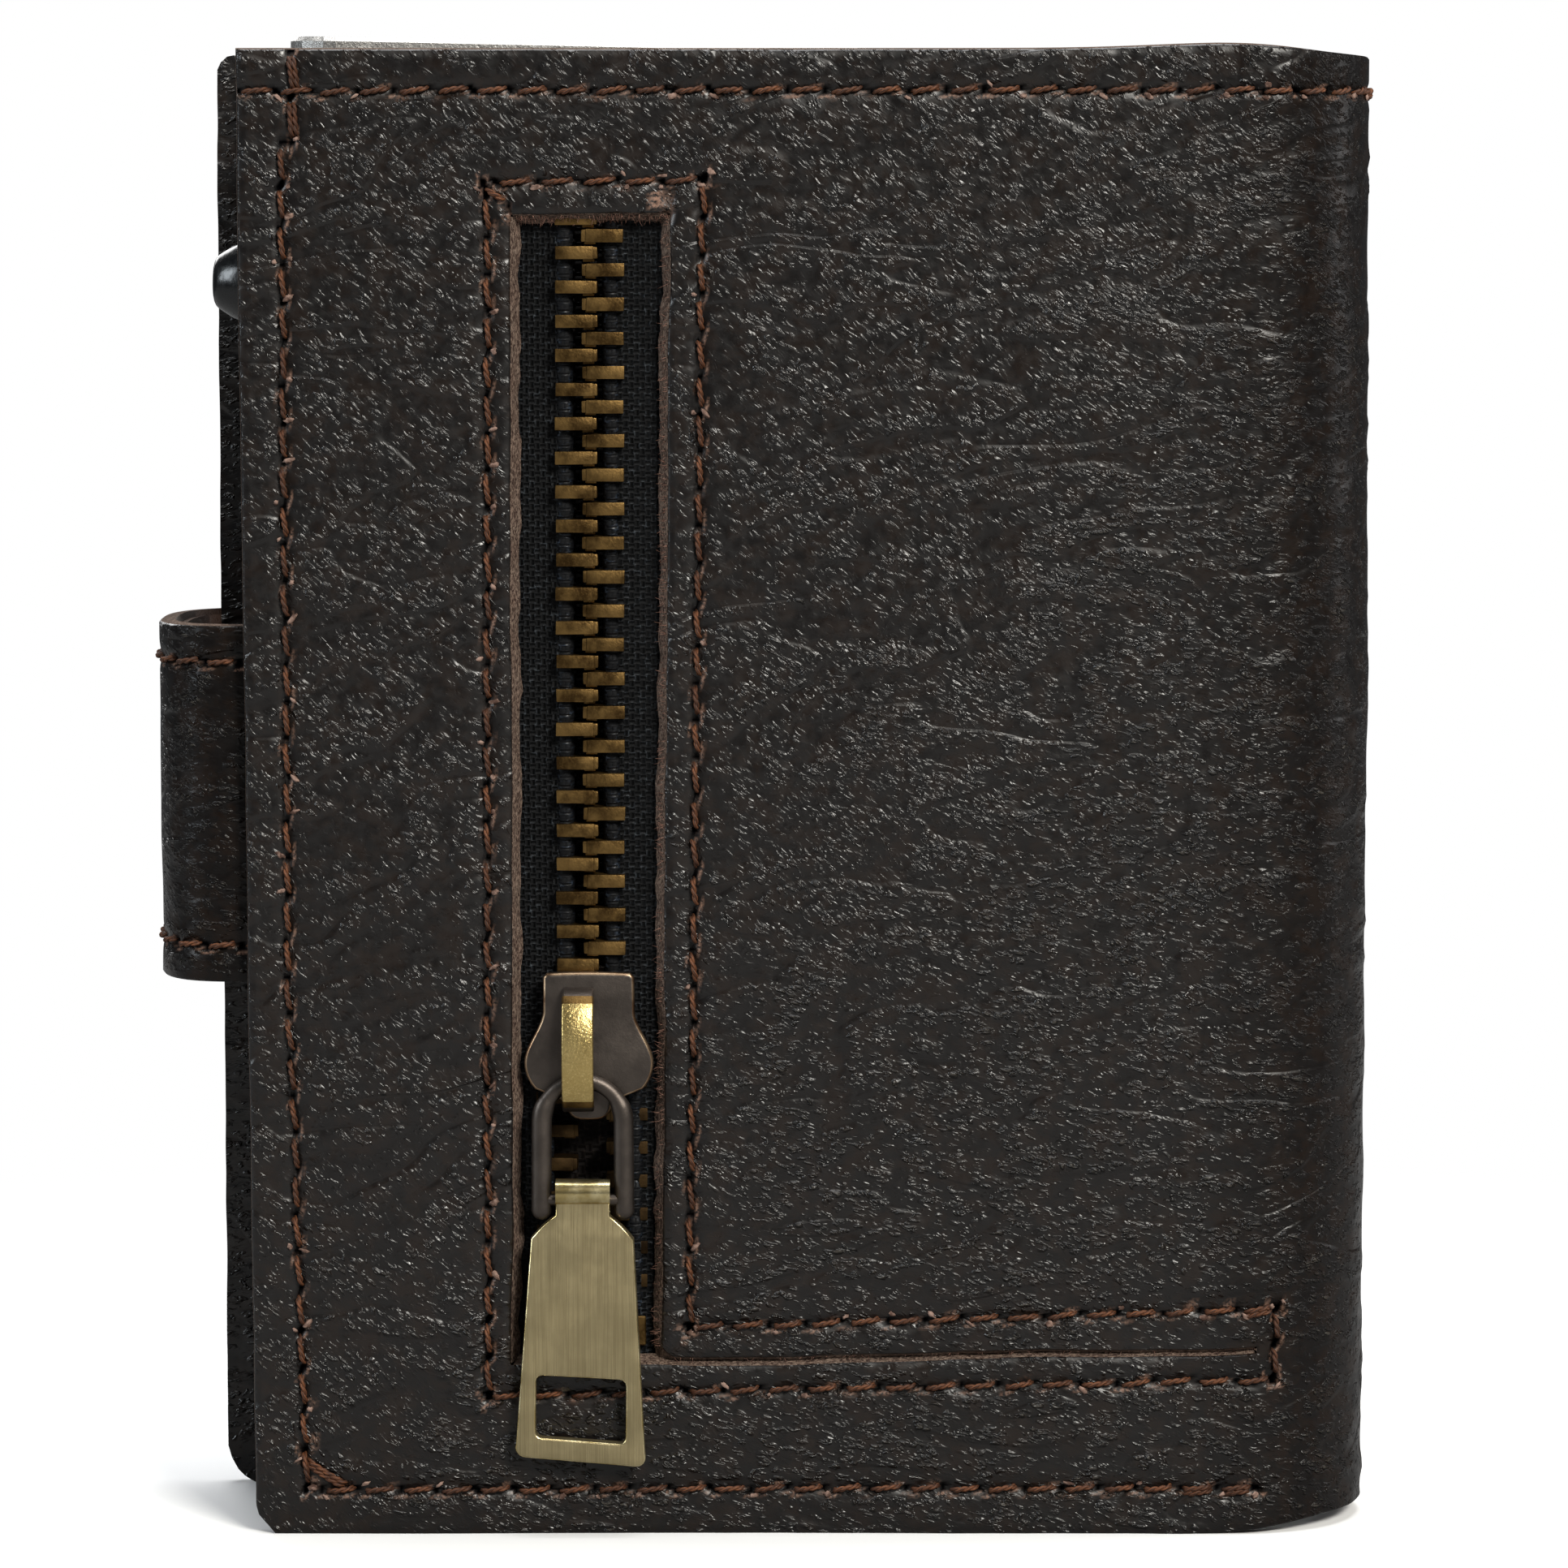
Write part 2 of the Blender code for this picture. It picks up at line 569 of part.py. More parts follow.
def build_slider(bronze, gilt, pivot):
    """The body is one casting: two plates with flanges, joined by the diamond between the rows."""
    front, back = SLIDER_PLATES
    body = add_object(
        "zip_slider_body",
        prism_along_y(slider_outline(), (front[0], back[1])),
        bronze,
        pivot,
        smooth=True,
    )
    channel = slider_channel()
    # The channel is cut as two halves, which leaves the diamond standing in the middle
    for name, side in (("left", -1), ("right", 1)):
        half = [(x, z) for x, z in channel if (x - ZIP_X) * side > 0]
        if side < 0:
            half = list(reversed(half))
        inner = [
            (ZIP_X + side * DIAMOND_HALF, SLIDER_BOTTOM - MM),
            (ZIP_X + side * DIAMOND_HALF, DIAMOND_SHOULDER),
            (ZIP_X - side * 0.01 * MM, DIAMOND_TOP),
            (ZIP_X - side * 0.01 * MM, SLIDER_TOP + MM),
        ]
        outline = half + inner
        cut(body, f"slider_channel_{name}", prism_along_y(outline, (front[1], back[0])), pivot)
    slots = (("left", -TAPE_OUTER, -TAPE_SLOT_INNER), ("right", TAPE_SLOT_INNER, TAPE_OUTER))
    for name, low, high in slots:
        slot = rectangle(ZIP_X + low, ZIP_X + high, SLIDER_BOTTOM - MM, SLIDER_TOP + MM)
        cut(body, f"tape_slot_{name}", prism_along_y(slot, TAPE_SLOT), pivot)

    # Crown: an arched strip that bridges the front plate and holds the loop
    steps = 12
    outer = []
    inner = []
    z = (CROWN_TOP + CROWN_BOTTOM) / 2
    half = (CROWN_TOP - CROWN_BOTTOM) / 2
    rise = CROWN_BASE - CROWN_FRONT
    for i in range(steps + 1):
        angle = math.pi * i / steps
        swell = math.sin(angle) ** 0.55
        outer.append((FRONT_Y + CROWN_BASE - rise * swell, z + half * math.cos(angle)))
        inner.append((
            FRONT_Y + CROWN_BASE - (rise - CROWN_STRIP) * swell,
            z + (half - CROWN_STRIP * 1.1) * math.cos(angle),
        ))
    outline = outer + list(reversed(inner))
    bm = prism_along_x(outline, CROWN_X - CROWN_WIDTH / 2, CROWN_X + CROWN_WIDTH / 2)
    crown = add_object("zip_slider_crown", bm, gilt, pivot, smooth=True)
    bevel(crown, 0.15 * MM, 2)


def build_pull(bronze, plate, loop_pivot, tab_pivot):
    y = FRONT_Y + PULL_DEPTH
    steps = 14
    arc = []
    for i in range(steps + 1):
        angle = math.pi * i / steps
        z = LOOP_PIVOT_Z - LOOP_RADIUS + LOOP_RADIUS * math.sin(angle)
        arc.append((PULL_X + LOOP_RADIUS * math.cos(angle), y, z))
    turn = WIRE_BEND
    for side in (1, -1):
        foot = []
        for i in range(5):
            angle = math.pi / 2 * i / 4
            foot.append((
                PULL_X + side * (LOOP_RADIUS - turn * (1 - math.cos(angle))),
                y,
                TAB_PIVOT_Z + turn - turn * math.sin(angle),
            ))
        foot.append((PULL_X + side * (NECK_HALF + 0.25 * MM), y, TAB_PIVOT_Z))
        foot.append((PULL_X + side * (NECK_HALF + 0.15 * MM), y, TAB_PIVOT_Z))
        foot.append((PULL_X + side * 0.35 * MM, y, TAB_PIVOT_Z))
        if side > 0:
            arc = list(reversed(foot)) + arc
        else:
            arc = arc + foot
    radii = [WIRE_R] * len(arc)
    for i in (0, 1, -1, -2):
        radii[i] = PIN_R
    add_object("zip_pull_loop", wire(arc, radii), bronze, loop_pivot, smooth=True)

    # Tab: a tapered plate with a window, thickened at its neck round the eye
    half = TAB_THICKNESS / 2
    layer = (PULL_DEPTH - half, PULL_DEPTH + half)
    right = [
        (NECK_HALF, NECK_TOP - 1.2 * MM),
        (NECK_HALF, SHOULDER_TOP),
        (SHOULDER_HALF, SHOULDER_BOTTOM),
        (TAB_BOTTOM_HALF, TAB_BOTTOM + 0.7 * MM),
        (TAB_BOTTOM_HALF - 0.6 * MM, TAB_BOTTOM),
    ]
    outline = [(PULL_X + x, z) for x, z in right + [(-x, z) for x, z in reversed(right)]]
    bm = prism_along_y(outline, layer)
    tab = add_object("zip_pull_tab", bm, plate, tab_pivot, smooth=True)
    neck = prism_along_y(
        rectangle(PULL_X - NECK_HALF, PULL_X + NECK_HALF, SHOULDER_TOP - 0.3 * MM, NECK_TOP),
        (PULL_DEPTH - NECK_THICKNESS / 2, PULL_DEPTH + NECK_THICKNESS / 2),
    )
    combine(tab, add_object("neck_block", neck, None, tab_pivot), "UNION")
    half, bottom, top = TAB_WINDOW
    hole = rounded_rectangle(PULL_X - half, PULL_X + half, bottom, top, 0.6 * MM, 3)
    cut(tab, "tab_window", prism_along_y(hole, (PULL_DEPTH - MM, PULL_DEPTH + MM)), tab_pivot)
    eye = turned(
        ((PULL_X - 4 * MM, EYE_R), (PULL_X + 4 * MM, EYE_R)),
        lambda along, a, b: (along, FRONT_Y + PULL_DEPTH + a, TAB_PIVOT_Z + b),
        sides=16,
    )
    cut(tab, "tab_eye", eye, tab_pivot)
    bevel(tab, 0.14 * MM, 1)


# ---------------------------------------------------------------- card case

def case_outline(inset):
    """The case's rounded cross-section, in the case's own X and world Y."""
    low, high = layer_y(CASE_LAYER)
    half = CASE_WIDTH / 2
    return rounded_rectangle(
        -half + inset, half - inset, low + inset, high - inset, CASE_CORNER - inset, 6
    )


def tube(bottom, top, outer_inset, inner_inset):
    levels = ((outer_inset, bottom), (outer_inset, top), (inner_inset, top), (inner_inset, bottom))
    return skin([[(x, y, z) for x, y in case_outline(inset)] for inset, z in levels], closed=True)


def in_case(obj, frame):
    """Hangs an object, drawn in the case's own X with Z measured from the ground, on the case's frame."""
    obj.data.transform(Matrix.Translation((0, -MID_Y, -frame.location.z)))
    obj.parent = frame
    return obj


def build_case(aluminium, plastic, black, felt, tape, frame, trigger_frame):
    low, high = layer_y(CASE_LAYER)
    middle = (low + high) / 2
    body_low = CASE_BOTTOM + MOUTH_HEIGHT + GAP / 2
    bm = tube(body_low, TUBE_TOP, 0, CASE_WALL)
    body = in_case(add_object("card_case_body", bm, aluminium, smooth=True), frame)
    slot_low = TRIGGER_Z - TRIGGER_TRAVEL - SLOT_SPARE
    slot = rectangle(middle - SLOT_HALF, middle + SLOT_HALF, slot_low, TRIGGER_Z + SLOT_SPARE)
    bm = prism_along_x(slot, -CASE_WIDTH / 2 - MM, -CASE_WIDTH / 2 + 2.5 * MM)
    combine(body, in_case(add_object("trigger_slot_cutter", bm, None), frame), "DIFFERENCE")

    bm = tube(CASE_BOTTOM, CASE_BOTTOM + MOUTH_HEIGHT, 0, CASE_WALL)
    in_case(add_object("card_case_mouth_ring", bm, plastic, smooth=True), frame)

    # End cap: a plate on the tube's end with a plug inside it
    plug = CASE_WALL + 0.15 * MM
    levels = (
        (plug, TUBE_TOP - 2.4 * MM),
        (plug, TUBE_TOP + 0.15 * MM),
        (0.0, TUBE_TOP + 0.15 * MM),
        (0.0, END_CAP_TOP - 0.3 * MM),
        (0.3 * MM, END_CAP_TOP),
    )
    bm = skin([[(x, y, z) for x, y in case_outline(inset)] for inset, z in levels])
    in_case(add_object("card_case_end_cap", bm, aluminium, smooth=True), frame)

    # Friction pad on the rear wall, which stops the cards from sliding out
    pad = rounded_rectangle(-12 * MM, 12 * MM, 26 * MM, 46 * MM, 1.5 * MM, 3)
    inner_wall = high - CASE_WALL - FRONT_Y
    bm = prism_along_y(pad, (inner_wall - 0.55 * MM, inner_wall - 0.2 * MM))
    in_case(add_object("card_friction_pad", bm, felt), frame)

    # Ejector: a staircase, so that the cards fan out as it pushes them
    room_low = low + CASE_WALL + 0.25 * MM
    room_high = high - CASE_WALL - 0.25 * MM
    tread = (room_high - room_low) / EJECTOR_STEPS
    stairs = [(room_high, EJECTOR_TOP), (room_low, EJECTOR_TOP)]
    for i in range(EJECTOR_STEPS):
        z = CARD_STOP + EJECTOR_RISE * i
        stairs += [(room_low + tread * i, z), (room_low + tread * (i + 1), z)]
    bm = prism_along_x(stairs, EJECTOR_LEFT, -EJECTOR_LEFT)
    ejector = in_case(add_object("card_ejector", bm, black), trigger_frame)
    arm = prism_along_x(
        rectangle(middle - ARM_HALF, middle + ARM_HALF, TRIGGER_Z - 2.0 * MM, EJECTOR_TOP - 0.5 * MM),
        EJECTOR_LEFT - EJECTOR_ARM,
        EJECTOR_LEFT + 0.5 * MM,
    )
    combine(ejector, in_case(add_object("ejector_arm", arm, None), trigger_frame), "UNION")

    # Trigger: a bell-shaped knob on a stem through the slot
    tip = TRIGGER_TIP_X
    side = -CASE_WIDTH / 2
    profile = (
        (EJECTOR_LEFT - EJECTOR_ARM - STEM_GAP, STEM_R),
        (side - 0.4 * MM, STEM_R),
        (side - 0.4 * MM, 2.75 * MM),
        (side - 0.9 * MM, 2.75 * MM),
        (side - 1.6 * MM, 2.3 * MM),
        (side - 2.6 * MM, 2.2 * MM),
        (tip + 1.0 * MM, 2.05 * MM),
        (tip + 0.35 * MM, 1.6 * MM),
        (tip, 0.8 * MM),
    )
    bm = turned(profile, lambda along, a, b: (along, middle + a, TRIGGER_Z + b))
    in_case(add_object("case_trigger", bm, black, smooth=True), trigger_frame)

    # Double-sided tape that holds the case to the rear lining
    pad = rectangle(-22 * MM, 20 * MM, 12 * MM, 88 * MM)
    add_object("case_mounting_tape", prism_along_y(pad, MOUNTING_LAYER), tape)


# ---------------------------------------------------------------- strap and press stud

def build_strap(leather, suede, zip_pivot, bow_pivot, tip_pivot):
    """Two plies, each in three lengths that meet at the strap's two fold lines."""
    plies = (("strap", STRAP_OUTER_LAYER, leather), ("strap_lining", STRAP_LINING_LAYER, suede))
    for name, layer, material in plies:
        reach, rise = ply_size(layer)
        thickness = layer[1] - layer[0]
        front = strap_centre_y() - rise
        rear = strap_centre_y() + rise
        root = [(STRAP_ROOT_END, front), (STRAP_X + 0.2 * MM, front)]
        root += strap_bow(reach, rise, 0.0, STRAP_FOLD - STRAP_OPENING, 7)
        bow_start = STRAP_FOLD + STRAP_OPENING
        bow = strap_bow(reach, rise, bow_start, 1 - bow_start, 12)
        tip = strap_bow(reach, rise, 1 - STRAP_FOLD + STRAP_OPENING, 1.0, 7)
        tip.append((STRAP_X + 0.2 * MM, rear))
        curved = len(tip)
        end, insets = rounded_end(STRAP_TIP_END, rear, STRAP_CORNER, 1)
        tip += end
        trim = STRAP_LINING_TRIM if name == "strap_lining" else 0.0
        low = lambda i: STRAP_LOW + trim
        high = lambda i: STRAP_HIGH - trim
        inset = lambda i: STRAP_CORNER * insets[i - curved] if i >= curved else 0.0
        add_object(f"{name}_root", ribbon(root, thickness, low, high), material, zip_pivot)
        add_object(f"{name}_bow", ribbon(bow, thickness, low, high), material, bow_pivot)
        bm = ribbon(tip, thickness, lambda i: low(i) + inset(i), lambda i: high(i) - inset(i))
        flap = add_object(f"{name}_tip", bm, material, tip_pivot)
        hole = disc(SNAP_HOLE_R, (layer[0] - MM, layer[1] + MM), SNAP_X, snap_z(), sides=20)
        cut(flap, f"{name}_snap_cutter", hole, tip_pivot)


def build_snap(metal, tip_pivot):
    """Press stud: cap and socket on the strap, stud and post on the rear panel."""
    z = snap_z()
    place = lambda along, a, b: (SNAP_X + a, FRONT_Y + along, z + b)
    cap = (
        (19.6 * MM, 1.35 * MM),
        (CAP_LAYER[0], 1.35 * MM),
        (CAP_LAYER[0], 6.0 * MM),
        (CAP_LAYER[0] + 0.12 * MM, 6.1 * MM),
        (CAP_LAYER[1] - 0.1 * MM, 4.4 * MM),
        (CAP_LAYER[1], 1.5 * MM),
    )
    add_object("snap_cap", turned(cap, place, sides=32), metal, tip_pivot, smooth=True)
    socket = disc(4.6 * MM, SOCKET_LAYER, SNAP_X, z, hole=2.75 * MM)
    add_object("snap_socket", socket, metal, tip_pivot, smooth=True)
    stud = (
        (STUD_LAYER[0], 4.4 * MM),
        (STUD_LAYER[1], 4.4 * MM),
        (STUD_LAYER[1] + 0.1 * MM, 1.75 * MM),
        (19.0 * MM, 1.95 * MM),
        (19.3 * MM, 1.5 * MM),
    )
    add_object("snap_stud", turned(stud, place, sides=32), metal, smooth=True)
    post = (
        (POST_LAYER[0], 4.6 * MM),
        (POST_LAYER[1], 4.6 * MM),
        (POST_LAYER[1], 1.2 * MM),
        (17.6 * MM, 1.2 * MM),
    )
    add_object("snap_post", turned(post, place, sides=24), metal, smooth=True)


# ---------------------------------------------------------------- the wallet

def build():
    clear_scene()
    leather = make_material("dark_brown_leather", (0.022, 0.016, 0.014), 0.5)
    suede = make_material("brown_suede", (0.09, 0.055, 0.035), 0.9)
    lining = make_material("brown_lining", (0.03, 0.022, 0.018), 0.7)
    fabric = make_material("pocket_fabric", (0.012, 0.012, 0.013), 0.9)
    cloth = make_material("zip_tape", (0.008, 0.008, 0.009), 0.95)
    brass = make_material("antique_brass", (0.25, 0.15, 0.05), 0.4, 1.0)
    bronze = make_material("dark_bronze", (0.09, 0.07, 0.06), 0.35, 1.0)
    gilt = make_material("gilt", (0.5, 0.38, 0.16), 0.3, 1.0)
    plate = make_material("brushed_brass", (0.33, 0.27, 0.16), 0.38, 1.0)
    aluminium = make_material("aluminium", (0.75, 0.75, 0.76), 0.3, 1.0)
    plastic = make_material("grey_plastic", (0.3, 0.3, 0.31), 0.5)
    black = make_material("black_plastic", (0.008, 0.008, 0.009), 0.15)
    felt = make_material("felt", (0.05, 0.05, 0.05), 1.0)
    tape = make_material("mounting_tape", (0.8, 0.8, 0.78), 0.6)
    nickel = make_material("nickel", (0.6, 0.58, 0.55), 0.25, 1.0)

    rear_fold, front_fold = spine_pivots()
    spine_pivot = make_empty("spine_fold_line", (*rear_fold, 0))
    zip_pivot = make_empty("zip_panel_fold_line", (*front_fold, 0), spine_pivot)
    slider_pivot = make_empty("zip_slider_carrier", (ZIP_X, FRONT_Y, SLIDER_TOP), zip_pivot)
    loop_pivot = make_empty("pull_loop_axis", (PULL_X, FRONT_Y + PULL_DEPTH, LOOP_PIVOT_Z), slider_pivot)
    tab_pivot = make_empty("pull_tab_axis", (PULL_X, FRONT_Y + PULL_DEPTH, TAB_PIVOT_Z), loop_pivot)
    near_fold, far_fold = strap_pivots()
    bow_pivot = make_empty("strap_bow_fold_line", (*near_fold, snap_z()), zip_pivot)
    tip_pivot = make_empty("strap_tip_fold_line", (*far_fold, snap_z()), bow_pivot)
    case_frame = make_empty("card_case_frame", (CASE_CENTRE_X, MID_Y, 50 * MM), None, (0, CASE_LEAN, 0))
    trigger_frame = make_empty("trigger_carrier", (CASE_CENTRE_X, MID_Y, 50 * MM), None, (0, CASE_LEAN, 0))

    build_cover(leather, lining, spine_pivot, zip_pivot)
    build_pockets(lining, fabric, zip_pivot)
    build_zip(cloth, brass, zip_pivot)
    build_slider(bronze, gilt, slider_pivot)
    build_pull(bronze, plate, loop_pivot, tab_pivot)
    build_case(aluminium, plastic, black, felt, tape, case_frame, trigger_frame)
    build_strap(leather, suede, zip_pivot, bow_pivot, tip_pivot)
    build_snap(nickel, tip_pivot)


build()
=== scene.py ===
"""Looks of a pop-up card wallet with a zippered pocket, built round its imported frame.

The leather cover, strap, linings, pockets, zip, slider, pull and trigger are modelled here in fine detail and
stand for their plain CAD solids. The card case, the press stud and the small stops keep their CAD solids and
get finished materials. The builders below work in millimetres, in the frame's own axes, and every place is
worked out from the boxes of the CAD nodes. A sheet of leather is laid along a line on the ground plan: s runs
along that line, z is the height, and h is the height above the sheet's outer face.
"""

import json
import math

import bmesh
import bpy
import numpy as np
from mathutils import Matrix, Vector


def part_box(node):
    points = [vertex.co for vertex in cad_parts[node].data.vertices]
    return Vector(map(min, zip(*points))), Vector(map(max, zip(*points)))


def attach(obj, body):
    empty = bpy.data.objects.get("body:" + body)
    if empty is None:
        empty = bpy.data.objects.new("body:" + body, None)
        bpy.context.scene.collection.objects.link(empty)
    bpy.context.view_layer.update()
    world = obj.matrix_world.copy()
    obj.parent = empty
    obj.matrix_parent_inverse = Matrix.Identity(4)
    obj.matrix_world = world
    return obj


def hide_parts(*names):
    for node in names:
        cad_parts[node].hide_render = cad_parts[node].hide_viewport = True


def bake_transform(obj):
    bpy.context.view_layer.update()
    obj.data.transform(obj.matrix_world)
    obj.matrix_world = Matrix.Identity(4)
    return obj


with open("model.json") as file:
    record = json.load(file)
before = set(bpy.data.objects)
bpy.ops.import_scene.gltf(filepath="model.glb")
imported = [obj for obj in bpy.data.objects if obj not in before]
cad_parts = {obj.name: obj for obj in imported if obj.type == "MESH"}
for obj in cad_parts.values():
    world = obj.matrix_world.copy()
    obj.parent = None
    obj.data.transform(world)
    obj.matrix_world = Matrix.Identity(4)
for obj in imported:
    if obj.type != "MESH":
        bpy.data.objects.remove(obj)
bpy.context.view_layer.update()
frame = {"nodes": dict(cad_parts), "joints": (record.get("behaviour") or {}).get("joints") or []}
MM = 0.001


def box(node):
    """A CAD node's lowest and highest corners, in mm."""
    low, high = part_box(node)
    return np.array(low) / MM, np.array(high) / MM


def joint(name):
    return next(j for j in frame["joints"] if j["name"] == name)


# ---------------------------------------------------------------- places taken from the frame

PANEL_LOW, PANEL_HIGH = box("cover_zip_panel")
REAR_LOW, REAR_HIGH = box("cover_rear_panel")
SPINE_RIGHT = box("cover_spine")[1][0]
FRONT_Y = PANEL_LOW[1]
REAR_Y = REAR_HIGH[1]
HEIGHT = PANEL_HIGH[2]
LEFT = PANEL_LOW[0]
REAR_LEFT = REAR_LOW[0]
SPINE_R = (REAR_Y - FRONT_Y) / 2
MID_Y = (REAR_Y + FRONT_Y) / 2
SPINE_X = SPINE_RIGHT - SPINE_R
SPINE_TURN = math.pi * SPINE_R
ZIP_X = (box("zip_tape_left")[0][0] + box("zip_tape_right")[1][0]) / 2
SLIDER_LOW, SLIDER_HIGH = box("zip_slider_body")
CHAIN_LOW, CHAIN_HIGH = box("zip_teeth_right")
LOOP_LOW, LOOP_HIGH = box("zip_pull_loop")
TAB_LOW, TAB_HIGH = box("zip_pull_tab")
TRIGGER_LOW, TRIGGER_HIGH = box("case_trigger")

# The folds that leather bends over: the body beyond, and the line from where the bend starts to where it ends
FOLD_Z = HEIGHT / 2
FRONT_FOLD = ("spine", (SPINE_X, FRONT_Y, FOLD_Z), (SPINE_RIGHT, MID_Y, FOLD_Z))
REAR_FOLD = ("root", (SPINE_RIGHT, MID_Y, FOLD_Z), (SPINE_X, REAR_Y, FOLD_Z))

# The zip window, measured from the zip's middle line, and the slit that runs on from its foot
WINDOW_LEFT = ZIP_X - 5.15
WINDOW_RIGHT = ZIP_X + 5.15
WINDOW_TOP = CHAIN_HIGH[2] + 0.55
WINDOW_FOOT = CHAIN_LOW[2] - 3.45
SLIT_FOOT = CHAIN_LOW[2] - 2.9
SLIT_END = SPINE_X + 1.1

LEATHER = 1.2
STITCH = 2.6
COARSE = 0.62                # size of the cover's grid away from seams
ROUNDING = 0.14              # how far in from a cut edge the face starts to round off


# ---------------------------------------------------------------- noise and smooth steps

def smooth_step(value, low, high):
    share = np.clip((value - low) / (high - low), 0.0, 1.0)
    return share * share * (3 - 2 * share)


def value_noise(x, y, seed, size=64):
    """Smooth noise between 0 and 1 with cells of size 1, the same at each run."""
    table = np.random.RandomState(seed).rand(size, size)
    column = np.floor(x).astype(int)
    row = np.floor(y).astype(int)
    u = smooth_step(x - column, 0, 1)
    v = smooth_step(y - row, 0, 1)
    left, right = column % size, (column + 1) % size
    near, far = row % size, (row + 1) % size
    low = table[left, near] * (1 - u) + table[right, near] * u
    high = table[left, far] * (1 - u) + table[right, far] * u
    return low * (1 - v) + high * v


def cloudy(x, y, seed, octaves=3):
    """Noise with finer noise on top of it, about 0."""
    total = 0.0
    for i in range(octaves):
        total = total + (value_noise(x * 2 ** i, y * 2 ** i, seed + i) - 0.5) / 2 ** i
    return total


def wavy(along, step, seed, shift=0):
    """cloudy() along a line: waves about step long. shift picks another row of the same noise."""
    return cloudy(along / step, along * 0 + shift, seed)


def creases(s, z):
    """Slow waves of the cover, and the flowing creases that gather towards the spine."""
    wave = 0.28 * cloudy(s / 24, z / 30, 11, 2)
    flow = 1.6 * cloudy(s / 8, z / 6, 21, 2)
    line = (z - 0.22 * s) / 3.4 + flow
    ridge = 1 - np.abs(2 * value_noise((s + 0.22 * z) / 13, line, 31) - 1)
    fine = 1 - np.abs(2 * value_noise((s + 0.3 * z) / 5, (z - 0.3 * s) / 1.7 + flow, 41) - 1)
    gather = 0.25 + 0.75 * smooth_step(s, -12, 22)
    return wave + gather * (0.13 * ridge ** 4 + 0.06 * fine ** 3)


# ---------------------------------------------------------------- materials

class Nodes:
    """A short way to write one material's nodes."""

    def __init__(self, name, **surface):
        self.material = bpy.data.materials.new(name)
        self.material.use_nodes = True
        self.tree = self.material.node_tree
        self.surface = self.tree.nodes["Principled BSDF"]
        self.set(self.surface, surface)

    def set(self, node, inputs):
        for name, value in inputs.items():
            key = name if isinstance(name, int) else name.replace("_", " ")
            socket = node.inputs[key]
            if isinstance(value, bpy.types.NodeSocket):
                self.tree.links.new(value, socket)
            else:
                socket.default_value = value

    def add(self, kind, inputs, output=0, **settings):
        node = self.tree.nodes.new("ShaderNode" + kind)
        for name, value in settings.items():
            setattr(node, name, value)
        self.set(node, inputs)
        return node.outputs[output]

    def place(self, scale=(1, 1, 1), turn=0.0, uv=True, shift=0.0):
        """Texture coordinates in mm, turned and then scaled: the sheet's own (s, z), or the object's."""
        source = self.add("UVMap", {}, uv_map="UVMap") if uv else self.add("TexCoord", {}, "Object")
        size = 1.0 if uv else MM
        inputs = {"Vector": source, "Rotation": (0, 0, turn), "Scale": [size / value for value in scale]}
        inputs["Location"] = (shift, shift, 0)
        return self.add("Mapping", inputs, vector_type="TEXTURE")

    def split(self, vector):
        """A vector's first two parts."""
        outputs = self.add("SeparateXYZ", {0: vector}).node.outputs
        return outputs["X"], outputs["Y"]

    def noise(self, vector, scale=1.0, detail=2.0, roughness=0.5, warp=0.0):
        inputs = dict(Vector=vector, Scale=scale, Detail=detail, Roughness=roughness, Distortion=warp)
        return self.add("TexNoise", inputs)

    def cells(self, vector, scale=1.0, feature="F1"):
        return self.add("TexVoronoi", {"Vector": vector, "Scale": scale}, "Distance", feature=feature)

    def math(self, operation, a, b=0.0):
        return self.add("Math", {0: a, 1: b}, operation=operation)

    def times(self, first, *others):
        for value in others:
            first = self.math("MULTIPLY", first, value)
        return first

    def plus(self, first, *others):
        for value in others:
            first = self.math("ADD", first, value)
        return first

    def band(self, value, low, high, to_low=0.0, to_high=1.0):
        """value's range low..high spread over to_low..to_high, with soft ends."""
        inputs = {"Value": value, "From_Min": low, "From_Max": high, "To_Min": to_low, "To_Max": to_high}
        return self.add("MapRange", inputs, interpolation_type="SMOOTHSTEP")

    def mix(self, share, a, b):
        return self.add("MixRGB", {"Fac": share, "Color1": a, "Color2": b})

    def shade(self, name):
        return self.add("Attribute", {}, "Fac", attribute_name=name)

    def bump(self, height, depth):
        """Bumps of this height, where 1 stands for depth mm."""
        return self.add("Bump", {"Height": height, "Distance": depth * MM, "Strength": 1.0})

    def finish(self, **surface):
        self.set(self.surface, surface)
        return self.material


def colour(red, green, blue):
    """A colour given as it looks on a screen, 0 to 255."""
    shares = [c / 255 for c in (red, green, blue)]
    return [((c + 0.055) / 1.055) ** 2.4 if c > 0.04 else c / 12.92 for c in shares] + [1.0]


def brighter(tone, factor, extra=0.0):
    return [min(1, c * factor + extra) for c in tone[:3]] + [1]


def ridges(n, turn, shift):
    """Height of the grain: short strands lying along one direction, on narrow pebbles."""
    flat = n.place(scale=(1.2, 2.2, 1), turn=turn, shift=shift)
    bend = n.noise(flat, 0.6, 1.0)
    moved = n.add("VectorMath", {0: flat, 1: n.times(bend, 3.0)}, operation="ADD")
    dome = n.band(n.cells(moved), 0.12, 0.6, 1.0, 0.0)
    strand = n.noise(n.place(scale=(1.3, 3.1, 1), turn=turn, shift=shift), 1.0, 2.0, 0.6, 0.5)
    return n.times(n.plus(n.times(dome, 0.95), 0.05), n.band(strand, 0.35, 0.6))


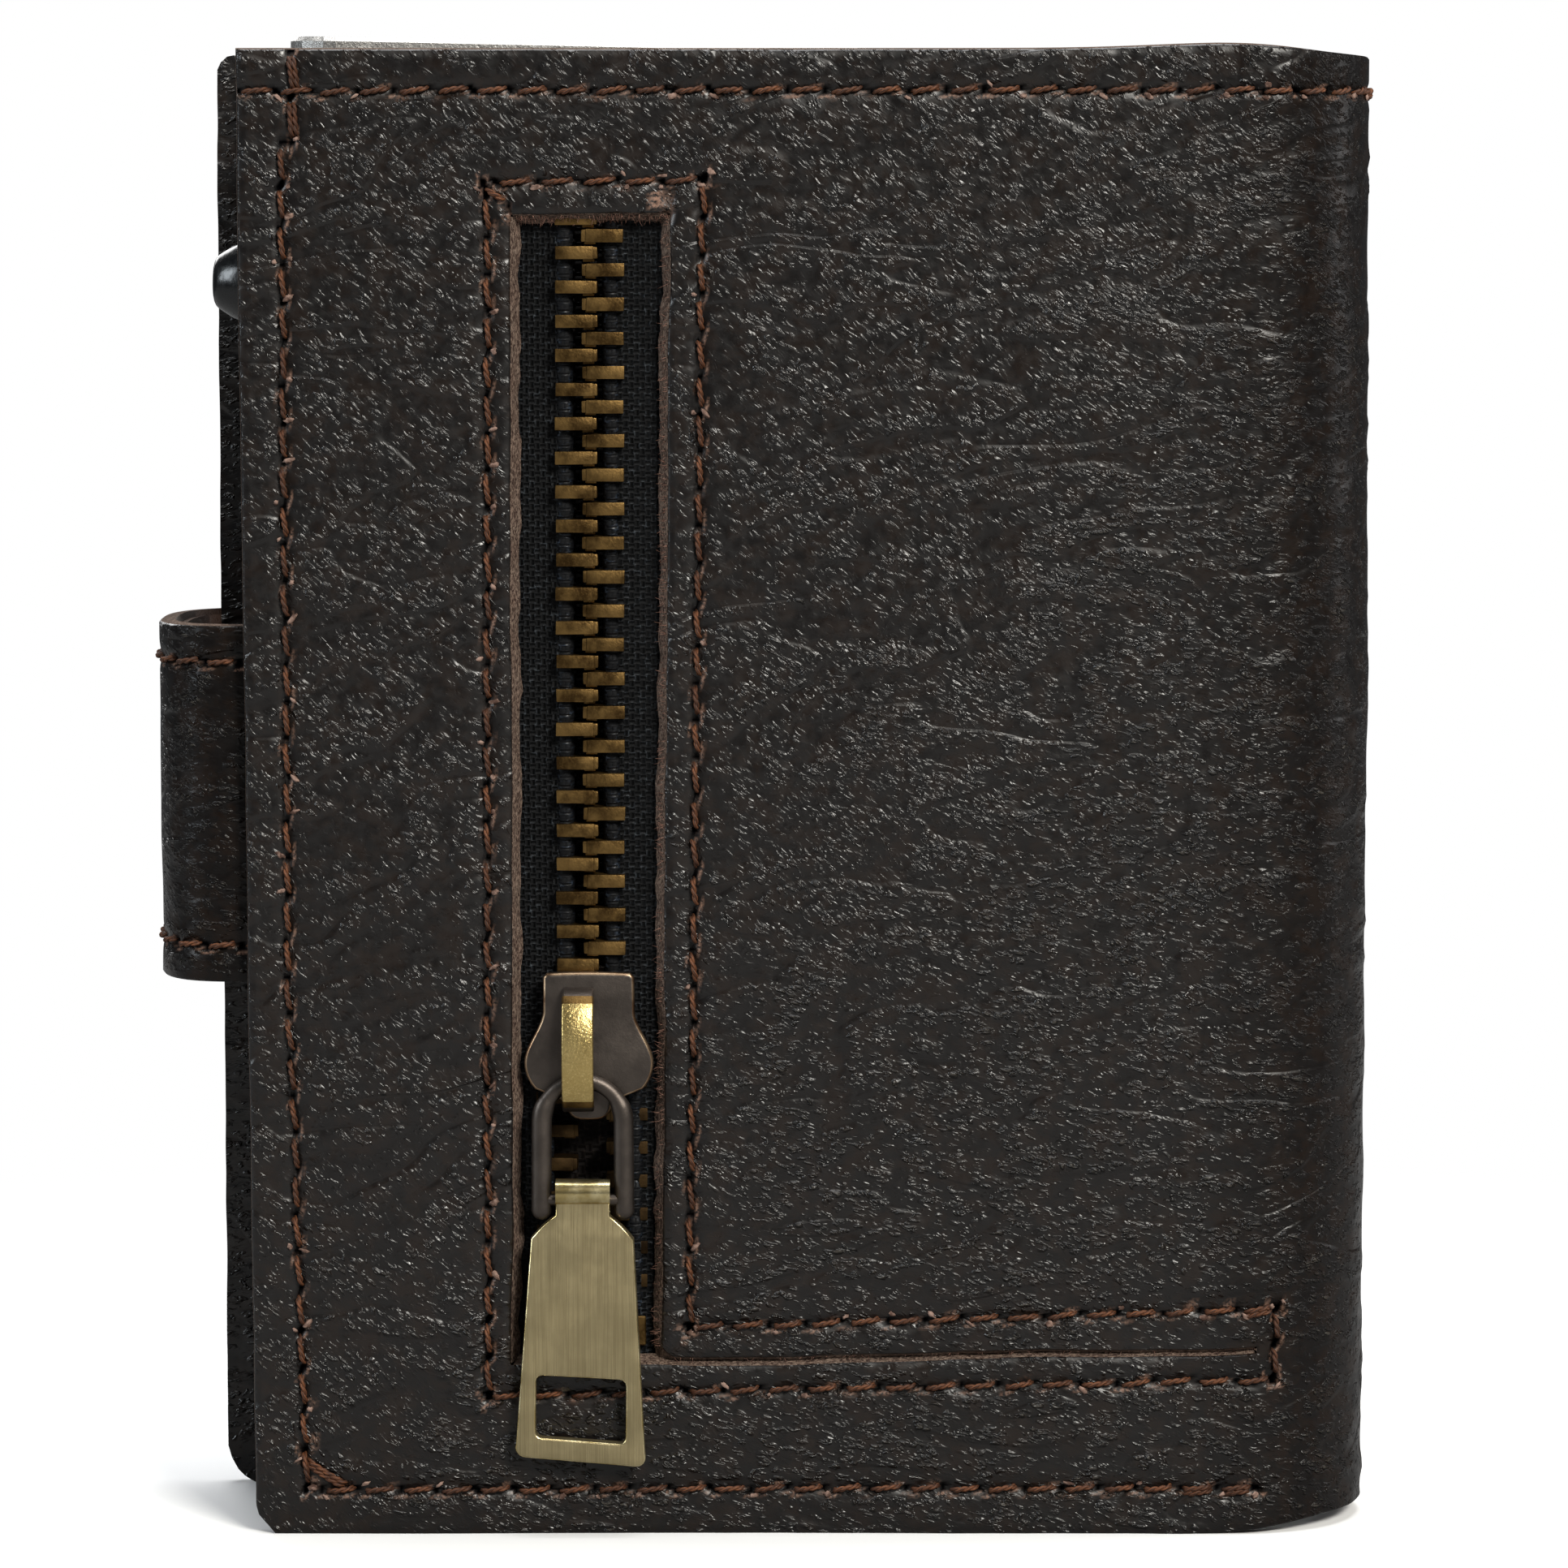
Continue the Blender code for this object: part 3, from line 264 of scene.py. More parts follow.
def wrinkles(n):
    """Where the grain stands up: full on the crest beside each flowing crease, little in the crease."""
    flow = n.noise(n.place(scale=(0.055, 0.14, 1), turn=math.radians(10)), 1.0, 2.0, 0.55, 0.4)
    share = n.math("FRACT", n.times(flow, 7.0))
    rise = n.band(share, 0.05, 0.26)
    fall = n.band(share, 0.3, 1.0, 1.0, 0.2)
    return n.times(rise, fall)


def leather_height(n, flat, s, z):
    """The grain, steep on the left and nearly level towards the spine, and the crests that carry it."""
    steep, level = math.radians(-43), math.radians(-16)
    rightwards = n.plus(n.times(s, 0.017), n.times(z, -0.01), n.times(n.noise(flat, 0.05, 2.0), 1.4))
    grain = n.mix(n.band(rightwards, 0.1, 0.55), ridges(n, steep, 0.0), ridges(n, level, 40.0))
    crest = wrinkles(n)
    patches = n.band(n.noise(flat, 0.22, 3.0, 0.6), 0.36, 0.6, 0.45, 1.0)
    raised = n.times(grain, n.plus(n.times(crest, patches, 0.92), 0.08))
    raised = n.times(raised, n.band(rightwards, -0.1, 0.6, 0.5, 1.0))
    return raised, n.plus(raised, n.times(crest, 0.24))


def leather_material():
    """Dark brown goat leather: slanted pebbles on flowing crests, which catch the light, with pale highlights
    also painted where the grain stands highest.
    """
    n = Nodes("cover_leather")
    flat = n.place()
    s, z = n.split(flat)
    raised, height = leather_height(n, flat, s, z)
    hole_shade = n.shade("hole_shade")
    raw = n.shade("raw")
    fluff = n.band(n.noise(flat, 4.5, 3.0), 0.35, 0.6)
    base = n.mix(n.band(n.noise(flat, 0.5, 4.0, 0.65), 0.42, 0.64), colour(15, 12, 11), colour(25, 17, 12))
    # Painted highlight: pale grey where the grain stands highest, so that its glints show in the colour.
    base = n.mix(n.times(n.band(raised, 0.35, 0.8), 0.14), base, colour(130, 124, 114))
    base = n.mix(n.times(raw, fluff), base, colour(150, 116, 98))
    # Painted shade: near-black inside the needle holes, which are only shallow dents in the sheet.
    base = n.mix(hole_shade, base, colour(1, 1, 2))
    rough = n.band(n.noise(flat, 1.2, 3.0), 0.3, 0.7, 0.27, 0.4)
    rough = n.math("MAXIMUM", rough, n.times(n.math("MAXIMUM", hole_shade, raw), 0.95))

    # Handling has dulled the spine
    entering = n.band(s, SPINE_X - 5, SPINE_X + 6)
    leaving = n.band(s, SPINE_X + SPINE_TURN - 6, SPINE_X + SPINE_TURN + 5, 1.0, 0.0)
    spine = n.math("SUBTRACT", 1.0, n.times(entering, leaving, 0.6))
    shine = n.times(n.math("SUBTRACT", 0.5, n.times(hole_shade, 0.5)), spine)
    return n.finish(Base_Color=base, Roughness=rough, Normal=n.bump(height, 0.27), Specular_IOR_Level=shine)


def raw_edge_material():
    """A cut leather edge: felted fibres, brown grey with reddish ones among them."""
    n = Nodes("raw_edge")
    flat = n.place(scale=(1.0, 2.2, 1))
    fibre = n.noise(flat, 3.2, 5.0, 0.65, 0.8)
    tone = n.mix(n.noise(flat, 0.7, 2.0), colour(118, 94, 82), colour(146, 130, 116))
    base = n.mix(n.band(fibre, 0.38, 0.66), colour(52, 38, 33), tone)
    return n.finish(Base_Color=base, Roughness=0.9, Normal=n.bump(fibre, 0.12), Specular_IOR_Level=0.15)


def suede_material(name, dark, light):
    """The flesh side of leather, with a soft nap."""
    n = Nodes(name, Roughness=0.92, Specular_IOR_Level=0.15, Sheen_Weight=0.3)
    flat = n.place()
    nap = n.noise(flat, 5.0, 5.0, 0.7)
    base = n.mix(n.noise(flat, 0.25, 3.0), dark, light)
    base = n.mix(n.band(nap, 0.35, 0.7, 0.0, 0.5), base, light)
    return n.finish(Base_Color=base, Normal=n.bump(nap, 0.08))


def smooth_leather_material(name, dark, light):
    """Thin lining leather with a fine printed grain."""
    n = Nodes(name)
    flat = n.place()
    grain = n.cells(flat, 2.6, "SMOOTH_F1")
    base = n.mix(n.noise(flat, 0.2, 4.0), dark, light)
    rough = n.band(n.noise(flat, 1.0, 2.0), 0.3, 0.7, 0.45, 0.62)
    return n.finish(Base_Color=base, Roughness=rough, Normal=n.bump(grain, 0.05), Specular_IOR_Level=0.4)


def weave_material(name, dark, light, pitch, depth, shine):
    """Plain weave with this thread pitch in mm: threads over and under, some of which catch the light; in
    patches their crowns are glossier and painted lighter as a highlight.
    """
    n = Nodes(name)
    wave = math.pi / pitch
    across, along = [n.times(part, wave) for part in n.split(n.place())]
    over = n.times(n.math("SINE", across), n.math("SINE", along))
    warp = n.math("ABSOLUTE", n.math("COSINE", across))
    weft = n.math("ABSOLUTE", n.math("COSINE", along))
    height = n.mix(n.band(over, -0.2, 0.2), warp, weft)
    wear_and_gleam = n.noise(n.place(), 0.8 / pitch, 3.0, 0.7)
    # Painted highlight: the crowns of the threads are painted lighter in the glossier patches.
    gleam = n.times(n.band(wear_and_gleam, 0.5, 0.72), n.math("POWER", height, 3.0))
    base = n.mix(n.times(gleam, 0.8), dark, light)
    rough = n.band(wear_and_gleam, 0.4, 0.7, 0.75, 0.75 - shine)
    return n.finish(Base_Color=base, Roughness=rough, Normal=n.bump(height, depth), Specular_IOR_Level=0.22)


def thread_material(name, dark, light):
    """Waxed sewing thread: fibres run along each ply."""
    n = Nodes(name)
    fibres = n.noise(n.place(scale=(1.2, 9.0, 1)), 1.0, 3.0, 0.6)
    patch = n.noise(n.place(uv=False), 0.35, 2.0)
    base = n.mix(n.band(fibres, 0.3, 0.7), dark, light)
    base = n.mix(n.band(patch, 0.42, 0.62, 0.0, 0.55), base, dark)
    return n.finish(Base_Color=base, Roughness=0.62, Normal=n.bump(fibres, 0.05), Specular_IOR_Level=0.35)


def fluff_material(name, dark, light):
    """Torn leather fibre beside the needle holes and along the window."""
    n = Nodes(name)
    spots = n.noise(n.place(uv=False), 2.0, 3.0)
    base = n.mix(n.band(spots, 0.35, 0.65), dark, light)
    return n.finish(Base_Color=base, Roughness=0.85, Normal=n.bump(spots, 0.1), Specular_IOR_Level=0.2)


def metal_material(name, dark, light, roughness, brushed=0.0, sparkle=0.0, cloud=1.0):
    """Metal with uneven tarnish; brushed gives upright scratches and sparkle a grainy plating."""
    n = Nodes(name, Metallic=0.95)
    place = n.place(uv=False)
    patches = n.noise(place, 0.45, 4.0, 0.6)
    base = n.mix(n.band(patches, 0.35, 0.65, 0.5 - 0.5 * cloud, 0.5 + 0.5 * cloud), dark, light)
    rough = n.band(patches, 0.3, 0.7, roughness * 0.9, roughness * 1.15)
    height = n.noise(place, 5.0, 3.0, 0.6)
    depth = 0.008 + 0.05 * sparkle
    if brushed:
        lines = n.noise(n.place(scale=(16.0, 16.0, 0.16), uv=False), 1.0, 3.0, 0.75)
        wide = n.noise(n.place(scale=(3.4, 3.4, 0.06), uv=False), 1.0, 2.0, 0.6)
        height = n.plus(n.times(lines, 0.75), n.times(wide, 0.4))
        depth = 0.03
        base = n.mix(n.times(n.band(height, 0.48, 0.7), brushed), base, dark)
    if sparkle:
        specks = n.noise(place, 7.0, 2.0, 0.7)
        base = n.mix(n.times(n.band(specks, 0.5, 0.7), sparkle), base, light)
    return n.finish(Base_Color=base, Roughness=rough, Normal=n.bump(height, depth))


def plastic_material(name, tone, roughness):
    """Moulded plastic with a faint orange-peel and handling marks."""
    n = Nodes(name)
    peel = n.noise(n.place(uv=False), 1.6, 3.0)
    marks = n.noise(n.place(scale=(1, 1, 0.3), uv=False), 3.0, 4.0, 0.7)
    base = n.mix(n.band(marks, 0.55, 0.8, 0.0, 0.25), tone, brighter(tone, 1.8, 0.01))
    rough = n.band(marks, 0.3, 0.8, roughness, roughness + 0.15)
    return n.finish(Base_Color=base, Roughness=rough, Normal=n.bump(peel, 0.02))


def foam_material(name, tone, scale, depth):
    """Felt or foam: matt, uneven, with small open pores."""
    n = Nodes(name, Roughness=0.95, Specular_IOR_Level=0.1)
    place = n.place(uv=False)
    pores = n.cells(place, scale)
    cloud = n.noise(place, scale / 2, 4.0, 0.7)
    base = n.mix(cloud, tone, brighter(tone, 2.2))
    return n.finish(Base_Color=base, Normal=n.bump(n.plus(pores, cloud), depth))


LEATHER_LOOK = leather_material()
RAW_EDGE = raw_edge_material()
FLESH = suede_material("leather_flesh", colour(50, 34, 26), colour(92, 66, 50))
SUEDE = suede_material("strap_suede", colour(62, 40, 28), colour(112, 76, 54))
LINING = smooth_leather_material("lining_leather", colour(40, 29, 25), colour(56, 41, 34))
POCKET_CLOTH = weave_material("pocket_fabric", colour(24, 19, 17), colour(66, 55, 48), 0.5, 0.12, 0.1)
TAPE_CLOTH = weave_material("zip_tape", colour(4, 5, 7), colour(64, 70, 76), 0.37, 0.16, 0.26)
CORD = weave_material("zip_cord", colour(4, 5, 8), colour(60, 70, 84), 0.3, 0.05, 0.45)
THREAD = thread_material("thread_brown", colour(40, 21, 12), colour(122, 74, 44))
LINING_THREAD = thread_material("thread_lining", colour(40, 26, 18), colour(96, 66, 46))
FLUFF = fluff_material("torn_fibre", colour(76, 56, 48), colour(150, 124, 112))
FUZZ = fluff_material("edge_fibre", colour(84, 58, 48), colour(142, 108, 94))
TOOTH_BRASS = metal_material("antique_brass", colour(66, 48, 24), colour(122, 96, 56), 0.42, sparkle=0.35)
# Painted shade: a darker brass for the parted teeth below the slider, which lie in the shade of the slider
# and pull.
SHADE_PAINTED_BRASS = metal_material("shade_painted_brass", colour(34, 24, 13), colour(72, 55, 33), 0.5, sparkle=0.1)
BRONZE = metal_material("dark_bronze", colour(74, 68, 64), colour(96, 88, 82), 0.42, sparkle=0.15, cloud=0.4)
# Edge wear and a painted highlight: a lighter copper for the slider plate's rounded edges.
EDGE_WEAR_AND_HIGHLIGHT = metal_material("bronze_edge_wear_and_highlight", colour(112, 84, 62), colour(176, 152, 124), 0.34)
GILT = metal_material("gilt_brass", colour(158, 128, 66), colour(230, 206, 142), 0.3, sparkle=0.7, cloud=0.2)
BRUSHED = metal_material(
    "brushed_brass", colour(150, 135, 100), colour(210, 194, 152), 0.38, brushed=0.6, cloud=0.15
)
# Painted highlight: a lighter brass for the pull tab's rounded edges and its folded neck.
EDGE_HIGHLIGHT_BRASS = metal_material("brass_edge_highlight", colour(176, 156, 104), colour(240, 226, 180), 0.25)
SNAP_METAL = metal_material("snap_metal", colour(96, 88, 76), colour(158, 150, 134), 0.32, sparkle=0.2)
ALUMINIUM = metal_material(
    "case_aluminium", colour(150, 148, 146), colour(196, 194, 190), 0.45, sparkle=0.8, cloud=0.1
)
CASE_PLASTIC = plastic_material("case_plastic", colour(186, 184, 180), 0.4)
BLACK_PLASTIC = plastic_material("black_plastic", colour(9, 10, 12), 0.2)
FELT = foam_material("pad_felt", colour(28, 28, 30), 3.0, 0.2)
FOAM_TAPE = foam_material("mounting_tape", colour(150, 150, 146), 2.2, 0.15)


# ---------------------------------------------------------------- mesh helpers

def new_object(name, data):
    obj = bpy.data.objects.new(name, data)
    bpy.context.scene.collection.objects.link(obj)
    return obj


def dress(mesh, materials, sharp=180.0):
    """Gives a mesh its materials and smooth shading, except over edges sharper than this angle."""
    for material in materials:
        mesh.materials.append(material)
    mesh.shade_smooth()
    if sharp < 180:
        mesh.set_sharp_from_angle(angle=math.radians(sharp))


def add_mesh(name, points, faces, materials, uvs, sharp, slots=None):
    """An object from points in mm. uvs gives each corner's place in mm, slots each face's material."""
    mesh = bpy.data.meshes.new(name)
    mesh.from_pydata((points * MM).tolist(), [], faces)
    layer = mesh.uv_layers.new(name="UVMap")
    layer.data.foreach_set("uv", np.asarray(uvs, dtype=np.float32).ravel())
    mesh.update()
    dress(mesh, materials, sharp)
    if slots is not None:
        mesh.polygons.foreach_set("material_index", np.asarray(slots, dtype=np.int32))
    return new_object(name, mesh)


def from_bmesh(name, bm, materials, sharp=180.0):
    mesh = bpy.data.meshes.new(name)
    bm.to_mesh(mesh)
    bm.free()
    dress(mesh, materials, sharp)
    return new_object(name, mesh)


def shade_points(obj, name, values):
    attribute = obj.data.attributes.new(name, "FLOAT", "POINT")
    attribute.data.foreach_set("value", np.asarray(values, dtype=np.float32))


def unit(vectors):
    return vectors / np.linalg.norm(vectors, axis=-1, keepdims=True)


def lengths_along(points):
    """How far along its line each point lies; the last axes are the points and their coordinates."""
    gaps = np.linalg.norm(np.diff(points, axis=-2), axis=-1)
    return np.concatenate([np.zeros(gaps.shape[:-1] + (1,)), np.cumsum(gaps, axis=-1)], axis=-1)


def sweep(name, centres, up, section, materials, sharp=180.0):
    """Tubes: centres (tube, step, xyz), up a direction across them, section (step, corner, 2) in mm."""
    tangent = unit(np.gradient(centres, axis=1))
    side = unit(np.cross(tangent, np.broadcast_to(up, centres.shape)))
    normal = np.cross(side, tangent)
    points = (
        centres[:, :, None, :]
        + side[:, :, None, :] * section[None, ..., 0:1]
        + normal[:, :, None, :] * section[None, ..., 1:2]
    )
    tubes, steps, corners = points.shape[:3]
    index = np.arange(tubes * steps * corners).reshape(tubes, steps, corners)
    following = np.roll(index, -1, axis=2)
    quads = np.stack([index[:, :-1], index[:, 1:], following[:, 1:], following[:, :-1]], -1).reshape(-1, 4)
    girth = np.arange(corners + 1) * 0.1
    u = np.broadcast_to(lengths_along(centres)[:, :, None], (tubes, steps, corners))
    v = np.broadcast_to(girth[:-1], u.shape)[:, :-1]
    w = np.broadcast_to(girth[1:], u.shape)[:, :-1]
    corner_uvs = ((u[:, :-1], v), (u[:, 1:], v), (u[:, 1:], w), (u[:, :-1], w))
    uvs = np.stack([np.stack(pair, -1) for pair in corner_uvs], 3).reshape(-1, 2)
    caps = [ring for tube in index for ring in (tube[0].tolist(), tube[-1][::-1].tolist())]
    uvs = np.concatenate([uvs, np.zeros((len(caps) * corners, 2))])
    return add_mesh(name, points.reshape(-1, 3), quads.tolist() + caps, materials, uvs, sharp)


def circle(radius, corners):
    angles = np.arange(corners) * 2 * math.pi / corners
    return np.stack([np.cos(angles), np.sin(angles)], -1) * radius


def round_box(half_wide, half_high, corner, centre=(0.0, 0.0)):
    """A rectangle with rounded corners, anticlockwise from its upper right."""
    points = []
    for i, (x, y) in enumerate(((1, 1), (-1, 1), (-1, -1), (1, -1))):
        for turn in (0, 30, 60, 90):
            angle = math.radians(90 * i + turn)
            points.append((
                centre[0] + x * (half_wide - corner) + corner * math.cos(angle),
                centre[1] + y * (half_high - corner) + corner * math.sin(angle),
            ))
    return points


def joined(name, pieces):
    """Several objects made into one."""
    with bpy.context.temp_override(
        active_object=pieces[0], selected_objects=pieces, selected_editable_objects=pieces
    ):
        bpy.ops.object.join()
    pieces[0].name = name
    return pieces[0]


def plate(name, outlines, near, far, round_edge, materials):
    """A flat upright plate from closed (x, z) outlines, the first its rim and the others holes.

    near..far is its depth. A second material goes on its rounded edges.
    """
    curve = bpy.data.curves.new(name, "CURVE")
    curve.dimensions = "2D"
    curve.fill_mode = "BOTH"
    curve.bevel_depth = round_edge
    curve.bevel_resolution = 3
    curve.offset = -round_edge
    curve.extrude = (far - near) / 2 - round_edge
    for outline in outlines:
        spline = curve.splines.new("POLY")
        spline.points.add(len(outline) - 1)
        spline.use_cyclic_u = True
        for point, (x, z) in zip(spline.points, outline):
            point.co = (x, z, 0, 1)
    source = new_object(name, curve)
    shape = source.evaluated_get(bpy.context.evaluated_depsgraph_get())
    mesh = bpy.data.meshes.new_from_object(shape)
    bpy.data.objects.remove(source)
    bm = bmesh.new()
    bm.from_mesh(mesh)
    bpy.data.meshes.remove(mesh)
    for vert in bm.verts:
        x, z, depth = vert.co
        vert.co = Vector((x, (near + far) / 2 - depth, z)) * MM
    bmesh.ops.remove_doubles(bm, verts=bm.verts, dist=0.0005 * MM)
    bmesh.ops.recalc_face_normals(bm, faces=bm.faces)
    for face in bm.faces:
        face.material_index = int(len(materials) > 1 and 0.12 < abs(face.normal.y) < 0.98)
    return from_bmesh(name, bm, materials, 35)


def settle(obj, body, nodes=(), fold=None):
    """Hangs a piece on the empty of the body it rides on and hides the CAD nodes it stands for. A piece given
    a fold is hung on nothing: its place is only baked into its mesh.
    """
    if fold:
        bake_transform(obj)
    else:
        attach(obj, body)
    if nodes:
        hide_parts(*nodes)


# ---------------------------------------------------------------- sheets of leather and cloth

class Path:
    """A line on the ground plan that a sheet is laid along, with the sheet's outer side on its right."""

    def __init__(self, points, start=0.0):
        self.points = np.array(points, float)
        self.s = start + lengths_along(self.points)
        self.tangent = unit(np.gradient(self.points, self.s, axis=0))

    def place(self, s, z, h):
        x, y = (np.interp(s, self.s, column) for column in self.points.T)
        tx, ty = (np.interp(s, self.s, column) for column in self.tangent.T)
        size = np.hypot(tx, ty)
        return np.stack([x + h * ty / size, y - h * tx / size, z], -1)


def cover_path():
    """Round the closed cover: s is x on the front panel, and runs on round the spine to the rear panel."""
    step = math.radians(0.75)
    turns = np.arange(-math.pi / 2, math.pi / 2 + step / 2, step)
    arc = [(SPINE_X + SPINE_R * math.cos(a), MID_Y + SPINE_R * math.sin(a)) for a in turns]
    front = [(x, FRONT_Y) for x in np.arange(LEFT - 2, SPINE_X - 0.2, 0.5)]
    rear = [(x, REAR_Y) for x in np.arange(SPINE_X - 0.5, REAR_LEFT - 2, -0.5)]
    return Path(front + arc + rear, LEFT - 2)


COVER = cover_path()
SPINE_MIDDLE = SPINE_X + SPINE_TURN / 2
REAR_EDGE = SPINE_X + SPINE_TURN + SPINE_X - REAR_LEFT


def grid_lines(low, high, coarse, exact=(), fine_at=(), fine=0.22):
    """Rising values from low to high that hit the exact ones and crowd together near fine_at."""
    reach = 1.1
    marks = {low, high}
    marks.update(v for v in exact if low < v < high)
    for middle in fine_at:
        marks.update(v for v in (middle - reach, middle + reach) if low < v < high)
    marks = sorted(marks)
    values = [low]
    for a, b in zip(marks, marks[1:]):
        if b - a < 1e-6:
            continue
        crowded = any(abs((a + b) / 2 - middle) < reach for middle in fine_at)
        count = max(1, math.ceil((b - a) / (fine if crowded else coarse)))
        values += [a + (b - a) * (i + 1) / count for i in range(count)]
    return np.array(values)


def rims(values):
    """Values with a companion close by on each side, so that an edge there can be rounded."""
    return [v + d for v in values for d in (-ROUNDING, 0.0, ROUNDING)]


def open_cells(columns, rows, holes):
    """The grid's cells with a border of empty ones round it: True where there is leather."""
    middle_s = ((columns[:-1] + columns[1:]) / 2)[:, None]
    middle_z = ((rows[:-1] + rows[1:]) / 2)[None, :]
    here = np.ones((len(columns) - 1, len(rows) - 1), bool)
    for left, right, foot, top in holes:
        here &= ~((middle_s > left) & (middle_s < right) & (middle_z > foot) & (middle_z < top))
    return np.pad(here, 1)


def wall_pairs(cells, number, s, z):
    """The pairs of points that raw edges run between, in order round them, and a texture place for each."""
    closed = cells.astype(int)
    pairs = []
    spots = []
    for change, step, along, where in (
        (np.diff(closed, axis=0)[:, 1:-1], (0, 1), -1, z),
        (np.diff(closed, axis=1)[1:-1, :], (1, 0), 1, s),
    ):
        for i, j in zip(*np.nonzero(change)):
            pair = (number[i, j], number[i + step[0], j + step[1]])
            pairs.append(pair if change[i, j] == along else pair[::-1])
            spots.append(where[i, j])
    return np.array(pairs), np.array(spots)


def sheet(name, path, columns, rows, thickness, materials, warp=None, height=None, holes=(),
          flare=0.1, hole_flare=0.4, marks=None, edge_drop=0.12, seams=()):
    """A closed sheet on a grid of s and z: outer face, back face, and a raw edge round its rim and holes.

    materials are those of the outer face, the back and the edge. warp moves grid places, height lifts the
    outer face, holes are rectangles of the grid, and seams names the rim sides that meet another sheet.
    """
    s, z = np.meshgrid(columns, rows, indexing="ij")
    cells = open_cells(columns, rows, holes)
    around = [cells[:-1, :-1], cells[1:, :-1], cells[:-1, 1:], cells[1:, 1:]]
    used = np.any(around, axis=0)
    border = used & ~np.all(around, axis=0)

    # The back flares out past the outer face at every raw edge
    push_s = sum(np.where(cell, 0, d) for cell, d in zip(around, (-1, 1, -1, 1)))
    push_z = sum(np.where(cell, 0, d) for cell, d in zip(around, (-1, -1, 1, 1)))
    push_s = np.clip(push_s, -1, 1) * border
    push_z = np.clip(push_z, -1, 1) * border
    rim = np.ones_like(border)
    rim[1:-1, 1:-1] = False
    ragged = 0.75 + 0.5 * value_noise(s / 1.1 + 9, z / 1.1, 51)
    amount = np.where(rim, flare, hole_flare * ragged)
    for side in seams:
        column = {"start": 0, "end": -1}[side]
        push_s[column, :] = 0
        border[column, 1:-1] = False

    s_at, z_at = warp(s, z) if warp else (s, z)
    lift = height(s_at, z_at) if height else np.zeros_like(s_at)
    back = path.place(s_at + push_s * amount, z_at + push_z * amount, lift * 0.6 - thickness)
    hole_shade = raw = np.zeros_like(lift)
    if marks:
        dent, hole_shade, raw = marks(s_at, z_at)
        lift = lift - dent
    outer = path.place(s_at, z_at, lift - np.where(border, edge_drop, 0.0))

    number = np.full(s.shape, -1)
    number[used] = np.arange(used.sum())
    count = int(used.sum())
    points = np.concatenate([outer[used], back[used]])
    corners = (number[:-1, :-1], number[1:, :-1], number[1:, 1:], number[:-1, 1:])
    face = np.stack([corner[cells[1:-1, 1:-1]] for corner in corners], -1)
    pairs, spots = wall_pairs(cells, number, s, z)
    first, second = pairs.T
    walls = np.stack([second, first, first + count, second + count], -1)
    faces = np.concatenate([face, face[:, ::-1] + count, walls])
    slots = np.repeat([0, 1, 2], [len(face), len(face), len(walls)])

    uv_at = np.stack([s_at[used], z_at[used]], -1)
    ends = spots + np.linalg.norm(points[first] - points[second], axis=1)
    out, back = spots * 0, spots * 0 + thickness
    wall_uv = np.stack([ends, out, spots, out, spots, back, ends, back], -1)
    uvs = np.concatenate([uv_at[face].ravel(), uv_at[face[:, ::-1]].ravel(), wall_uv.ravel()])
    obj = add_mesh(name, points, faces.tolist(), materials, uvs, 48.0, slots)
    for label, values in (("hole_shade", hole_shade), ("raw", raw)):
        shade_points(obj, label, np.concatenate([values[used], np.zeros(count)]))
    return obj


# ---------------------------------------------------------------- stitching

